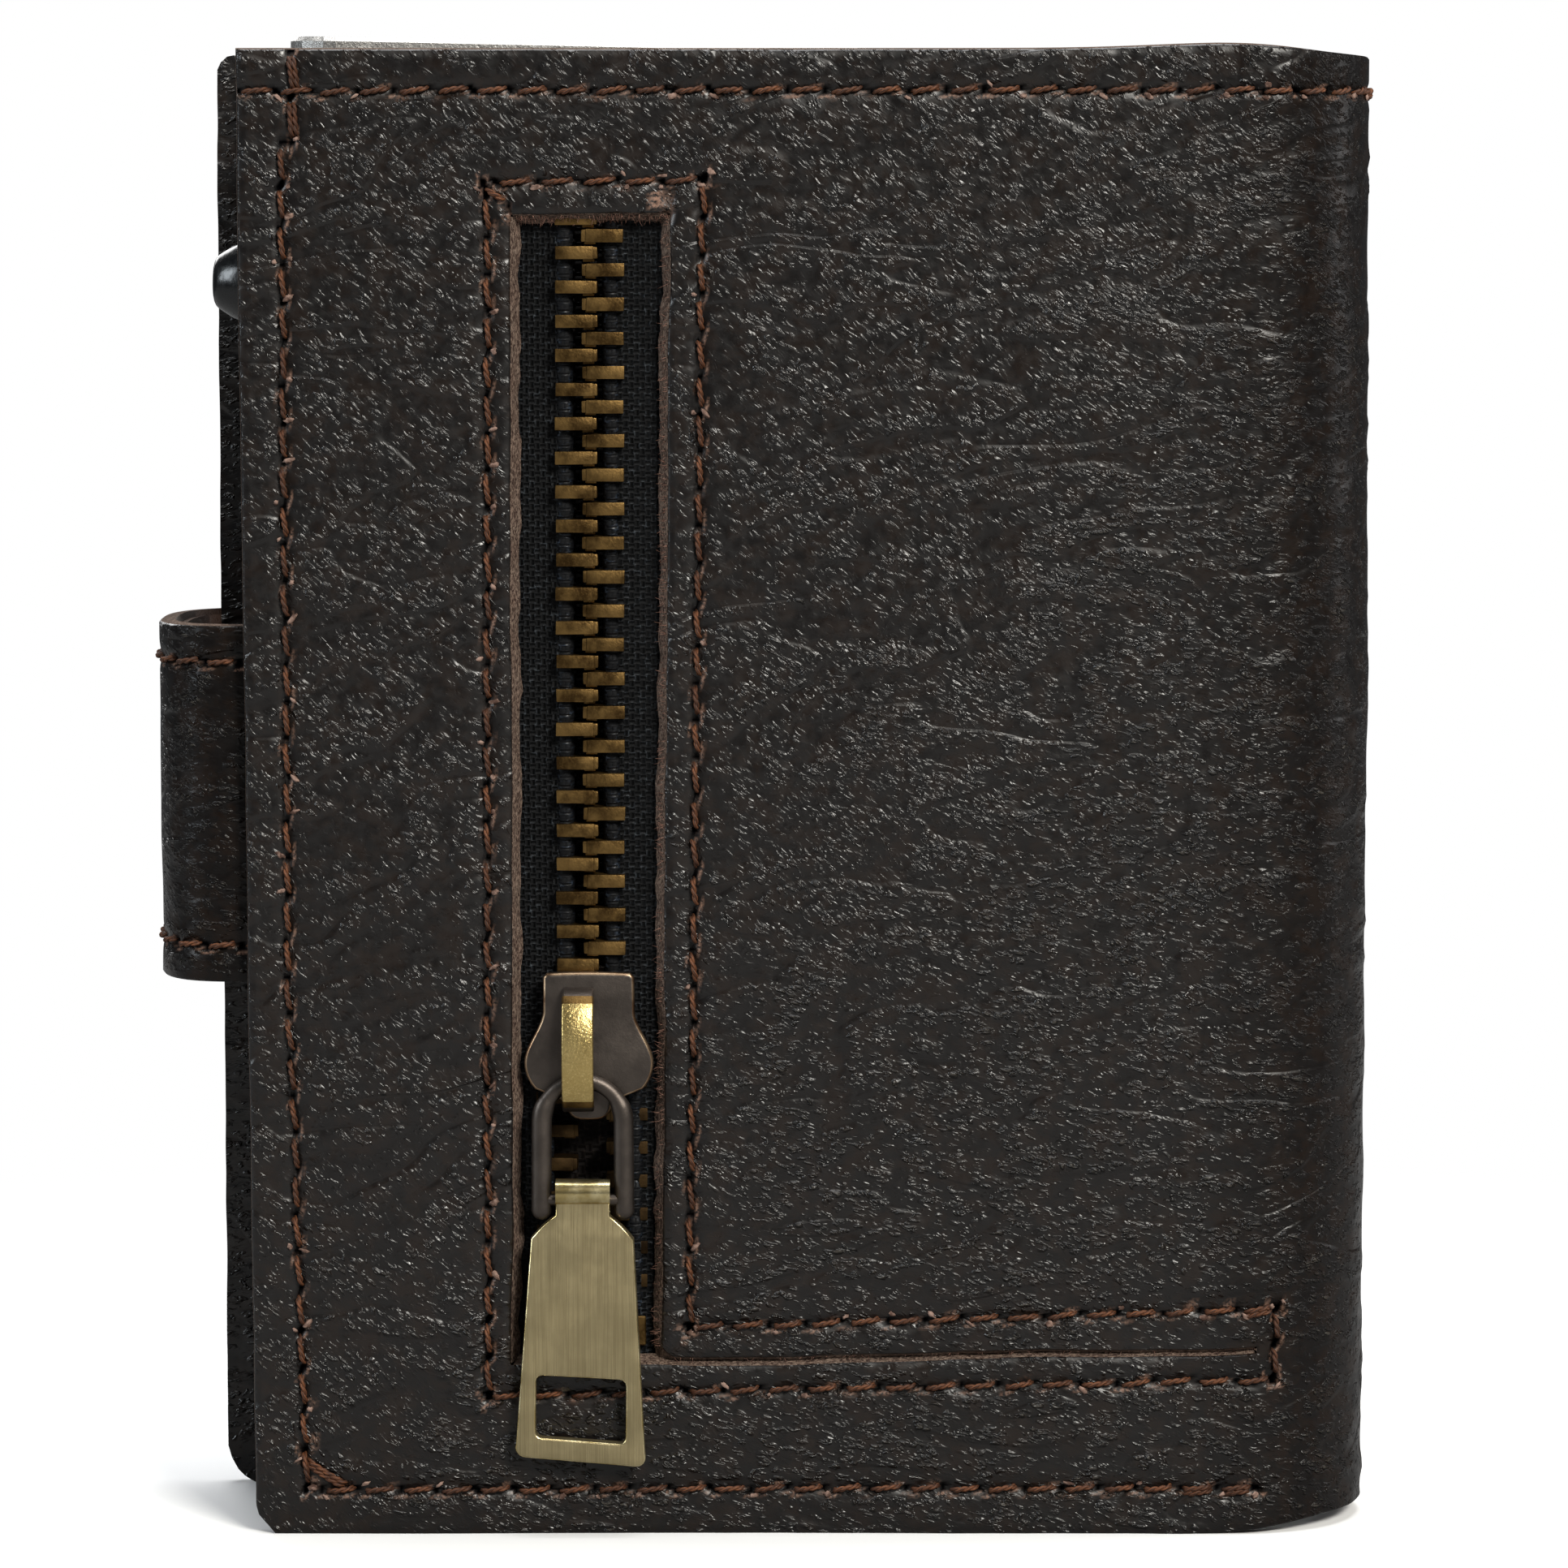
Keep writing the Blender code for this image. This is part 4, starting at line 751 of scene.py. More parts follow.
class Seam:
    """One line of stitches on a sheet: its needle holes and the thread between them."""

    def __init__(self, corners, seed, pitch=STITCH, skew=0.13, doubled=()):
        self.random = np.random.RandomState(seed)
        self.skew = skew
        corners = np.array(corners, float)
        holes = [corners[0]]
        for a, b in zip(corners, corners[1:]):
            count = max(1, round(float(np.linalg.norm(b - a)) / pitch))
            holes += [a + (b - a) * (i + 1) / count for i in range(count)]
        holes = np.array(holes)
        self.holes = holes + self.random.uniform(-0.07, 0.07, holes.shape)
        self.stitches = [(i, i + 1) for i in range(len(holes) - 1)]
        self.doubled = [i % (len(holes) - 1) for i in doubled]

    def frames(self):
        """Start, end, direction and left-hand normal of each stitch, all taken upwards or rightwards."""
        result = []
        for i, j in self.stitches:
            a, b = self.holes[i], self.holes[j]
            d = (b - a) / np.linalg.norm(b - a)
            if d[0] + d[1] < 0:
                a, b, d = b, a, -d
            result.append((a, b, d, np.array([-d[1], d[0]])))
        return result

    def hole_frames(self):
        """Each hole with the direction and normal of the stitch that starts there."""
        frames = self.frames()
        return [(hole, *frames[min(i, len(frames) - 1)][2:]) for i, hole in enumerate(self.holes)]

    def dents(self, s, z):
        """How deep the leather is pulled in, how much of a place is painted near-black as the shade inside a
        needle hole, and how raw it is.
        """
        dent, hole_shade, raw = np.zeros((3,) + s.shape)
        for a, b, d, n in self.frames():
            near = (np.abs(s - (a[0] + b[0]) / 2) < 4) & (np.abs(z - (a[1] + b[1]) / 2) < 4)
            ds, dz = s[near] - a[0], z[near] - a[1]
            along = np.clip(ds * d[0] + dz * d[1], 0, np.linalg.norm(b - a))
            gap = np.hypot(ds - along * d[0], dz - along * d[1])
            dent[near] = np.maximum(dent[near], 0.17 * np.exp(-(gap / 0.55) ** 2))

        # The needle's blade cuts slanted ovals
        half_long, half_wide = 0.5, 0.25
        for hole, d, n in self.hole_frames():
            long = unit(0.34 * d - 0.2 * n)
            near = (np.abs(s - hole[0]) < 1.6) & (np.abs(z - hole[1]) < 1.6)
            ds, dz = s[near] - hole[0], z[near] - hole[1]
            u = (ds * long[0] + dz * long[1]) / half_long
            v = (dz * long[0] - ds * long[1]) / half_wide
            r = np.hypot(u, v)
            # Painted shade: the middle of each oval is marked to be painted near-black, as the inside of the
            # hole.
            hole_shade[near] = np.maximum(hole_shade[near], 1 - smooth_step(r, 0.75, 1.25))
            dent[near] = np.maximum(dent[near], 0.5 * (1 - smooth_step(r, 0.3, 1.5)))
            raw[near] = np.maximum(raw[near], 0.8 * (1 - smooth_step(np.abs(r - 1.5), 0.0, 0.45)) * (v < 0.2))
        return dent, hole_shade, raw

    def thread_lines(self, t):
        """Where each length of thread runs: its (s, z) places, its height and the turn of its twist."""
        lines = []
        for k, (a, b, d, n) in enumerate(self.frames()):
            skew = self.skew * self.random.uniform(0.8, 1.25)
            start = a + 0.4 * d - n * skew
            end = b - 0.4 * d + n * skew
            sag = self.random.uniform(-0.04, 0.06) * np.sin(t * math.pi)
            places = start + np.outer(t, end - start) + np.outer(sag, n)
            rise = 0.1 - 0.6 * np.abs(2 * t - 1) ** 6
            lines.append((places, rise, self.random.uniform(0, 6.28)))
            if k in self.doubled:
                lines.append((places - n * 0.3, rise - 0.03, self.random.uniform(0, 6.28)))
        return lines

    def threads(self, name, path, height, material=THREAD, ply=0.12):
        """Two twisted plies for each stitch, going down into the holes at both ends."""
        steps = 15
        twist = 1.1
        t = np.linspace(0, 1, steps)
        plies = []
        for places, rise, phase in self.thread_lines(t):
            s, z = places.T
            base = height(s, z) + rise
            core = path.place(s, z, base)
            tangent = unit(np.gradient(core, axis=0))
            across = unit(np.cross(tangent, path.place(s, z, base + 1.0) - core))
            up = np.cross(across, tangent)
            length = np.linalg.norm(core[-1] - core[0])
            for turn in (0.0, math.pi):
                angle = phase + turn + 2 * math.pi * t * length / twist
                outwards = np.cos(angle)[:, None] * across + np.sin(angle)[:, None] * up
                plies.append(core + 0.72 * ply * outwards)
        section = np.broadcast_to(circle(ply, 7), (steps, 7, 2))
        holes = path.place(*self.holes.T, 0.0)
        facing = path.place(*self.holes.T, 1.0) - holes
        nearest = [np.argmin(np.linalg.norm(holes - line[steps // 2], axis=1)) for line in plies]
        return sweep(name, np.array(plies), facing[nearest][:, None, :], section, [material])

    def flakes(self, name, path, height, share):
        """Crumbs of torn leather fibre, pushed up beside the needle holes, on this share of them."""
        bm = bmesh.new()
        uniform = self.random.uniform
        for hole, d, n in self.hole_frames():
            for side in (-1, 1):
                if self.random.rand() > (share if side < 0 else share * 0.45):
                    continue
                spot = hole + d * uniform(-0.1, 0.55) + n * side * uniform(0.34, 0.52)
                base = height(spot[0:1], spot[1:2])[0]
                centre = path.place(*spot, base + 0.02)
                out = path.place(*spot, base + 1.02) - centre
                right = np.array([-out[1], out[0], 0.0])
                sizes = np.array([uniform(0.14, 0.4), uniform(0.1, 0.22), uniform(0.05, 0.11)])
                turn = uniform(-0.9, 0.9)
                lean = math.cos(turn) * right + math.sin(turn) * np.array([0, 0, 1.0])
                axes = np.array([lean, np.cross(out, lean), out])
                for vert in bmesh.ops.create_icosphere(bm, subdivisions=2, radius=1.0)["verts"]:
                    vert.co = Vector((centre + (np.array(vert.co) * uniform(0.6, 1.35) * sizes) @ axes) * MM)
        return from_bmesh(name, bm, [FLUFF])


def all_marks(sources):
    """One function for the dents, the painted shade of the needle holes and the raw places that several seams
    or cuts make.
    """
    def marks(s, z):
        return [np.maximum.reduce(layers) for layers in zip(*(source(s, z) for source in sources))]
    return marks


# ---------------------------------------------------------------- the cover

TOP_LINE = HEIGHT - 2.6
FOOT_LINE = 3.0
EDGE_LINE = LEFT + 3.05
FRAME_LEFT = WINDOW_LEFT - 1.75
FRAME_TOP = WINDOW_TOP + 2.3
FRAME_RIGHT = WINDOW_RIGHT + 2.55
FRAME_STEP = SLIT_FOOT + 2.0
FRAME_STEP_END = FRAME_STEP + 1.3
FRAME_END = SLIT_END + 1.4
FRAME_FOOT = WINDOW_FOOT - 2.1
REAR_START = SPINE_MIDDLE + 0.1
REAR_LINE = REAR_EDGE - 2.6

FRONT_SEAMS = {
    "top": Seam([(LEFT + 0.1, TOP_LINE - 0.1), (SPINE_MIDDLE - 0.1, TOP_LINE)], 1, doubled=(-1,)),
    "edge": Seam([(EDGE_LINE + 1.0, FOOT_LINE + 0.2), (EDGE_LINE, 38), (EDGE_LINE - 0.1, TOP_LINE - 3.6)], 2),
    "edge_top": Seam(
        [(EDGE_LINE + 0.6, TOP_LINE - 3.5), (EDGE_LINE + 0.6, HEIGHT - 0.1)], 11, doubled=(0, 1)
    ),
    "foot": Seam([(LEFT + 5.0, FOOT_LINE), (SLIT_END, FOOT_LINE + 0.15)], 3, doubled=(-1, -2)),
    "frame_left": Seam([(FRAME_LEFT, FRAME_FOOT), (FRAME_LEFT + 0.3, FRAME_TOP - 0.9)], 4),
    "frame_top": Seam([(FRAME_LEFT + 0.9, FRAME_TOP - 0.1), (FRAME_RIGHT, FRAME_TOP + 0.1)], 5),
    "frame_cross": Seam([(FRAME_LEFT + 0.1, FRAME_TOP - 0.2), (FRAME_LEFT + 1.6, FRAME_TOP - 1.5)], 16),
    "frame_right": Seam([(FRAME_RIGHT - 1.0, FRAME_STEP), (FRAME_RIGHT, FRAME_TOP + 0.1)], 6),
    "frame_step": Seam([(FRAME_RIGHT - 1.0, FRAME_STEP), (FRAME_END, FRAME_STEP_END)], 7, doubled=(-1,)),
    "frame_end": Seam([(FRAME_END - 0.3, FRAME_FOOT + 1.1), (FRAME_END, FRAME_STEP_END)], 8),
    "frame_foot": Seam([(FRAME_LEFT + 0.1, FRAME_FOOT), (FRAME_END - 0.3, FRAME_FOOT + 1.1)], 9),
    "corner": Seam(
        [(EDGE_LINE + 0.75, FOOT_LINE + 2.5), (LEFT + 7.0, FOOT_LINE)], 10, pitch=4.0, doubled=(0,)
    ),
}
REAR_SEAMS = {
    "rear_top": Seam([(REAR_START, TOP_LINE + 0.1), (REAR_LINE, TOP_LINE)], 12),
    "rear_edge": Seam([(REAR_LINE, FOOT_LINE), (REAR_LINE, TOP_LINE)], 13),
    "rear_foot": Seam([(SPINE_X + SPINE_TURN - 1.1, FOOT_LINE), (REAR_LINE, FOOT_LINE)], 14),
}


def pull(value, line, shift, reach=2.4):
    """Moves what lies near a grid line by shift, fading out over reach."""
    return value + np.clip(1 - np.abs(value - line) / reach, 0, 1) * shift


def settle_ends(s, z):
    """The spine's ends sit a little inside the panels' ends, more so at the foot."""
    share = smooth_step(s, SPINE_X - 3, SPINE_X + 8) * smooth_step(-s, -REAR_START - 20, -REAR_START - 3)
    return z - share * (0.35 * z / HEIGHT - (1 - z / HEIGHT) ** 8)


def corner_drop(s, end, reach):
    """How far a rounded corner of this reach falls back at s, when its sheet ends at end."""
    into = np.clip((s - (end - reach)) / reach, 0, 1)
    return reach * (1 - np.sqrt(np.clip(1 - into ** 2, 0, 1)))


def front_warp(s, z):
    """Slanting and slightly wavy edges, the cut corner at the foot, and the window, stretched uneven with
    use.
    """
    # The left edge leans in at the foot, where its corner is cut off, and the top edge rises by the spine
    lean = 0.6 * (1 - z / HEIGHT) + 0.12 * wavy(z, 9, 61)
    foot_cut = np.clip(1.5 - z, 0, 2) * 0.85
    new_s = pull(s, LEFT, lean + foot_cut, 4.0)
    new_z = pull(z, HEIGHT, 0.03 + 0.38 * np.exp(-((s - 32) / 8) ** 2), 3.0)

    # The window's sides and top
    beside = (z > WINDOW_FOOT - 2) & (z < WINDOW_TOP + 2)
    share = (z - WINDOW_FOOT) / (WINDOW_TOP - WINDOW_FOOT)
    left_shift = -0.1 + 0.25 * share + 0.16 * wavy(z, 7, 62, 3)
    right_shift = -0.35 + 0.75 * share + 0.2 * wavy(z, 5, 63, 5)
    new_s = np.where(beside, pull(new_s, WINDOW_LEFT, left_shift, 1.3), new_s)
    new_s = np.where(beside, pull(new_s, WINDOW_RIGHT, right_shift, 1.6), new_s)
    over = (s > WINDOW_LEFT - 1.5) & (s < WINDOW_RIGHT + 1.5)
    new_z = np.where(over, pull(new_z, WINDOW_TOP, 0.22 * wavy(s, 3.5, 64) + 0.15, 1.3), new_z)

    # The slit bows, closes towards its end, and its lip curls up at the window's corner
    beyond = s > WINDOW_RIGHT - 0.3
    slit_bow = 0.16 * wavy(s, 9, 65, 2) + 0.25 * smooth_step(s, WINDOW_RIGHT, SLIT_END)
    new_z = np.where(beyond, pull(new_z, SLIT_FOOT, slit_bow, 1.8), new_z)
    closing = slit_bow + 0.3 * smooth_step(s, WINDOW_RIGHT + 8, SLIT_END)
    new_z = np.where(beyond, pull(new_z, WINDOW_FOOT, closing, 1.6), new_z)
    curl = np.clip(1 - np.hypot(s - WINDOW_RIGHT, z - SLIT_FOOT) / 0.7, 0, 1)
    curl *= (s >= WINDOW_RIGHT - 0.01) & (z >= SLIT_FOOT - 0.01)
    new_s = new_s + 0.3 * curl
    return new_s, settle_ends(new_s, new_z + 0.3 * curl)


def rear_warp(s, z):
    """Rounded free corners and a slightly wavy cut edge."""
    new_s = pull(s, REAR_EDGE, 0.15 * wavy(z, 8, 66, 7), 3.0)
    new_z = z + corner_drop(s, REAR_EDGE, 2.8) * smooth_step(-z, -12, 0)
    new_z = new_z - corner_drop(s, REAR_EDGE, 1.0) * smooth_step(z, HEIGHT - 12, HEIGHT)
    return new_s, settle_ends(new_s, new_z)


def knife_marks(s, z):
    """The knife ran past the window's top corners, and lifted a patch of grain beside one of them."""
    dent, hole_shade, raw = np.zeros((3,) + s.shape)
    for x, reach, width in ((WINDOW_LEFT, 0.95, 0.14), (WINDOW_RIGHT + 0.35, 1.55, 0.2)):
        near = (np.abs(s - x) < 2 * width) & (z > WINDOW_TOP) & (z < WINDOW_TOP + reach)
        cut = np.where(near, np.clip(1.6 - np.abs(s - x) / width, 0, 1), 0)
        dent = np.maximum(dent, 0.35 * cut)
        raw = np.maximum(raw, 0.3 * cut)
    patch = (np.abs(s - (WINDOW_RIGHT - 0.5)) < 0.5) & (np.abs(z - (WINDOW_TOP + 1.15)) < 0.5)
    return dent, hole_shade, np.maximum(raw, patch)


def stitch_cover(seams, share, across, flat_body, fold_body, fold):
    """Thread and torn crumbs along each seam. Those named in across only have their places baked in; the
    others hang on the flat body.
    """
    for label, seam in seams.items():
        for piece in (
            seam.threads(f"stitches_{label}", COVER, creases),
            seam.flakes(f"flakes_{label}", COVER, creases, share),
        ):
            if label in across:
                settle(piece, fold_body, fold=fold)
            else:
                settle(piece, flat_body)


def build_front():
    """The zip panel's leather, which runs on to the middle of the spine."""
    exact_s = rims([WINDOW_LEFT, WINDOW_RIGHT, SLIT_END])
    exact_s += [LEFT + ROUNDING, SPINE_MIDDLE - 0.05, SPINE_MIDDLE - 0.2]
    exact_z = rims([WINDOW_TOP, WINDOW_FOOT, SLIT_FOOT]) + [ROUNDING, HEIGHT - ROUNDING]
    seams_s = (EDGE_LINE + 0.3, FRAME_LEFT, FRAME_RIGHT - 0.4, FRAME_END - 0.1)
    seams_z = (FOOT_LINE, TOP_LINE, FRAME_TOP + 0.3, FRAME_STEP + 0.4, FRAME_FOOT + 0.4)
    holes = (
        (WINDOW_LEFT, WINDOW_RIGHT, WINDOW_FOOT, WINDOW_TOP),
        (WINDOW_RIGHT - 0.1, SLIT_END, WINDOW_FOOT, SLIT_FOOT),
    )
    marks = all_marks([seam.dents for seam in FRONT_SEAMS.values()] + [knife_marks])
    cover = sheet(
        "leather_zip_panel", COVER,
        grid_lines(LEFT, SPINE_MIDDLE, COARSE, exact_s, seams_s),
        grid_lines(0.0, HEIGHT, COARSE, exact_z, seams_z),
        LEATHER, (LEATHER_LOOK, FLESH, RAW_EDGE), front_warp, creases, holes,
        flare=0.12, hole_flare=0.58, marks=marks, seams=("end",),
    )
    settle(cover, "zip_panel", ("cover_zip_panel", "cover_spine"), FRONT_FOLD)
    stitch_cover(FRONT_SEAMS, 0.36, ("top",), "zip_panel", "zip_panel", FRONT_FOLD)


def build_rear():
    """The rear panel's leather, from the middle of the spine on."""
    exact_s = [SPINE_MIDDLE + 0.05, SPINE_MIDDLE + 0.2, REAR_EDGE - ROUNDING]
    exact_z = [ROUNDING, HEIGHT - ROUNDING]
    rear = sheet(
        "leather_rear_panel", COVER,
        grid_lines(SPINE_MIDDLE, REAR_EDGE, COARSE, exact_s, (REAR_LINE,)),
        grid_lines(0.0, HEIGHT, COARSE, exact_z, (FOOT_LINE, TOP_LINE)),
        LEATHER, (LEATHER_LOOK, LEATHER_LOOK, RAW_EDGE), rear_warp, creases,
        marks=all_marks([seam.dents for seam in REAR_SEAMS.values()]), seams=("start",),
    )
    settle(rear, "spine", ("cover_rear_panel",), REAR_FOLD)
    stitch_cover(REAR_SEAMS, 0.5, ("rear_top", "rear_foot"), "root", "spine", REAR_FOLD)


def hairs(name, roots, leans, seed, material, length):
    """Short loose fibres: roots (n, 3) in mm and the way each leans."""
    random = np.random.RandomState(seed)
    thickness = 0.024 * np.array([1.0, 0.9, 0.75, 0.55, 0.25])
    t = np.linspace(0, 1, len(thickness))
    lines = []
    for root, lean in zip(roots, leans):
        reach = length * random.uniform(0.4, 1.25)
        bend = random.normal(0, 0.45, 3)
        lines.append(root + np.outer(t, lean) * reach + np.outer(t ** 2, bend) * reach * 0.6)
    section = circle(1.0, 3)[None] * thickness[:, None, None]
    return sweep(name, np.array(lines), np.array([0.31, 0.42, 0.85]), section, [material])


def build_window_fuzz():
    """Reddish fibres that stand out of the window's cut edges, thickest on the right."""
    random = np.random.RandomState(71)
    undercut = 0.36
    roots = []
    leans = []
    for _ in range(900):
        z = random.uniform(SLIT_FOOT + 0.6, WINDOW_TOP)
        s, z_at = front_warp(np.array([WINDOW_RIGHT]), np.array([z]))
        depth = random.uniform(0.15, 1.1)
        if value_noise(np.array([z / 2.2]), np.array([1.0]), 72)[0] < random.uniform(0.1, 0.75):
            continue
        roots.append((s[0] - undercut * depth, FRONT_Y + depth, z_at[0]))
        leans.append((-1.0, random.uniform(-0.5, 0.2), random.uniform(-0.7, 0.4)))
    for _ in range(260):
        x = random.uniform(WINDOW_LEFT + 0.3, WINDOW_RIGHT)
        s, z_at = front_warp(np.array([x]), np.array([WINDOW_TOP]))
        depth = random.uniform(0.2, 1.1)
        roots.append((s[0], FRONT_Y + depth, z_at[0] - undercut * depth))
        leans.append((random.uniform(-0.5, 0.5), random.uniform(-0.5, 0.2), -1.0))
    for _ in range(60):
        x = random.uniform(WINDOW_RIGHT, SLIT_END)
        s, z_at = front_warp(np.array([x]), np.array([SLIT_FOOT]))
        roots.append((s[0], FRONT_Y + 0.25, z_at[0] - 0.05))
        leans.append((random.uniform(-0.8, 0.8), -0.6, -0.6))
    settle(hairs("window_fuzz", roots, leans, 73, FUZZ, 0.36), "zip_panel")


# ---------------------------------------------------------------- flat linings and pockets

PLAIN_LINING = (LINING, FLESH, RAW_EDGE)


def flat_sheet(name, node, body, materials, inward=False, seam_sides=""):
    """A thin flat panel in a CAD node's place, with rounded edges, stitched along the named sides."""
    low, high = box(node)
    thickness = high[1] - low[1]
    xs = np.arange(low[0], high[0] + 0.25, 0.5)
    if inward:
        path = Path([(x, high[1]) for x in xs[::-1]], -xs[-1])
        left, right = -high[0], -low[0]
    else:
        path = Path([(x, low[1]) for x in xs], xs[0])
        left, right = low[0], high[0]
    foot, top = low[2], high[2]
    inset = 2.2
    lines = {"left": left + inset, "right": right - inset, "foot": foot + inset, "top": top - inset}
    seams = {}
    for count, side in enumerate(seam_sides.split()):
        if side in ("top", "foot"):
            corners = [(lines["left"], lines[side]), (lines["right"], lines[side])]
        else:
            corners = [(lines[side], lines["foot"]), (lines[side], lines["top"])]
        seams[side] = Seam(corners, 100 + count + len(name), skew=0.06)

    def soft(s, z):
        return -0.1 * (1 - np.minimum(1.0, 0.5 + value_noise(s / 9, z / 11, len(name))))

    rounding = 0.12
    fine_s = [lines[side] for side in ("left", "right") if side in seams]
    fine_z = [lines[side] for side in ("top", "foot") if side in seams]
    obj = sheet(
        name, path,
        grid_lines(left, right, 1.2, [left + rounding, right - rounding], fine_s, 0.3),
        grid_lines(foot, top, 1.2, [foot + rounding, top - rounding], fine_z, 0.3),
        thickness, materials, None, soft, flare=0.0, edge_drop=min(0.1, thickness * 0.3),
        marks=all_marks([seam.dents for seam in seams.values()]) if seams else None,
    )
    settle(obj, body, (node,))
    for side, seam in seams.items():
        settle(seam.threads(f"stitches_{name}_{side}", path, soft, LINING_THREAD, 0.11), body)


def build_linings():
    for name, node, body, inward, seam_sides in (
        ("lining_zip_panel", "zip_panel_lining", "zip_panel", True, "top foot left"),
        ("lining_rear_panel", "rear_panel_lining", "root", False, "top foot right"),
        ("card_slot_lower", "card_pocket_lower", "zip_panel", True, "top left right foot"),
        ("card_slot_upper", "card_pocket_upper", "zip_panel", True, "top left right foot"),
    ):
        flat_sheet(name, node, body, PLAIN_LINING, inward, seam_sides)
    cloth = (POCKET_CLOTH, POCKET_CLOTH, POCKET_CLOTH)
    flat_sheet("coin_pocket_cloth", "coin_pocket_back", "zip_panel", cloth)
    flat_sheet("slip_pocket_cloth", "slip_pocket_back", "zip_panel", cloth)


def build_spine_lining():
    """It follows the bend inside the cover, in two sheets like the cover itself."""
    low, high = box("spine_lining")
    thickness = 0.5
    radius = high[0] - SPINE_X - thickness
    step = math.radians(1.5)
    reach = math.radians(45)
    for name, start, end, body, fold in (
        ("lining_spine_front", -reach, 0.0, "zip_panel", FRONT_FOLD),
        ("lining_spine_rear", 0.0, reach, "spine", REAR_FOLD),
    ):
        turns = np.arange(end, start - step / 2, -step)
        path = Path([(SPINE_X + radius * math.cos(a), MID_Y + radius * math.sin(a)) for a in turns])
        columns = grid_lines(0.0, float(path.s[-1]), 0.5)
        rows = grid_lines(low[2], high[2], 0.8)
        obj = sheet(name, path, columns, rows, thickness, PLAIN_LINING, flare=0.0, edge_drop=0.04)
        settle(obj, body, ("spine_lining",), fold)


# ---------------------------------------------------------------- the zip

TOOTH_PITCH = 2.27
TOOTH_TALL = 0.87
TOOTH_LONG = 2.8
CHAIN_HALF = 2.42
LEFT_ROW_IN = 0.27           # the left row's teeth sit this much nearer the middle
TEETH_DEPTH = (0.62, 2.75)   # behind the cover's front face
FIRST_TOOTH = CHAIN_HIGH[2] - 0.75
PARTING = 1.45
PARTING_TOP = SLIDER_HIGH[2] - 3.8
PARTING_FOOT = SLIDER_HIGH[2] - 7.8


def first_tooth(side):
    """The rows lie half a pitch apart."""
    return FIRST_TOOTH - (TOOTH_PITCH / 2 if side < 0 else 0.0)


def parting(z):
    """How far a tooth row stands aside at this height: none above the slider, full below it."""
    return PARTING * (1 - smooth_step(z, PARTING_FOOT, PARTING_TOP))


def tooth(bm, x, z, side, near, far, random):
    """One brass tooth: a square bar round the cord, its inner end stepped back, with a small nib below."""
    outer = x + side * CHAIN_HALF + (LEFT_ROW_IN if side < 0 else 0.0)
    tip = outer - side * TOOTH_LONG
    low = z - TOOTH_TALL / 2
    high = z + TOOTH_TALL / 2
    parts = (
        (outer, tip + side * 0.3, low, high, near, far, 0.05),
        (tip + side * 0.6, tip, low + 0.03, high - 0.03, near + 0.12, far - 0.12, 0.1),
        (tip + side * 0.2, tip + side * 0.95, low - 0.15, z, near + 0.5, far - 0.5, 0.05),
    )
    for x0, x1, z0, z1, y0, y1, round_edge in parts:
        made = bmesh.ops.create_cube(bm, size=1.0)["verts"]
        for vert in made:
            jitter = random.uniform(-0.02, 0.02)
            vert.co.x = (x0 + x1) / 2 + vert.co.x * abs(x1 - x0) + jitter
            vert.co.y = (y0 + y1) / 2 + vert.co.y * (y1 - y0)
            vert.co.z = (z0 + z1) / 2 + vert.co.z * (z1 - z0) + jitter
        edges = list({edge for vert in made for edge in vert.link_edges})
        bmesh.ops.bevel(bm, geom=edges, offset=round_edge, segments=2, affect="EDGES", profile=0.6)


def build_teeth(name, side):
    """One row: bright and meshed above the slider, parted below it, where its teeth are painted darker as the
    shade under the slider and pull.
    """
    random = np.random.RandomState(80 + side)
    near, far = (FRONT_Y + depth for depth in TEETH_DEPTH)
    bm = bmesh.new()
    z = first_tooth(side)
    if side < 0:
        tooth(bm, ZIP_X, z + TOOTH_PITCH, side, near + 0.13, far, random)
    while z > CHAIN_LOW[2] + TOOTH_TALL:
        apart = float(parting(z))
        shift = side * apart + random.uniform(-0.035, 0.035)
        deeper = 0.5 * apart
        tooth(bm, ZIP_X + shift, z, side, near + deeper, far + deeper, random)
        z -= TOOTH_PITCH
    # Painted shade: teeth below the parting's top get the darker brass.
    for face in bm.faces:
        face.material_index = int(face.calc_center_median().z < PARTING_TOP)
    bm.transform(Matrix.Scale(MM, 4))
    teeth = from_bmesh(f"brass_teeth_{name}", bm, [TOOTH_BRASS, SHADE_PAINTED_BRASS], 40)
    settle(teeth, "zip_panel", (f"zip_teeth_{name}",))


def build_cord(name, side):
    """The cord that the teeth grip bulges between them."""
    heights = np.arange(CHAIN_LOW[2] - 2, CHAIN_HIGH[2] + 2, 0.13)
    bulge = np.abs(np.sin((heights - first_tooth(side)) / TOOTH_PITCH * math.pi)) ** 0.7
    centre_x = ZIP_X + side * (CHAIN_HALF - 0.85 + parting(heights))
    centres = np.stack([centre_x, np.full_like(heights, FRONT_Y + 1.72), heights], -1)[None]
    section = circle(1.0, 14)[None] * (0.42 + 0.2 * bulge)[:, None, None]
    settle(sweep(f"zip_cord_{name}", centres, (0, 1, 0), section, [CORD]), "zip_panel")


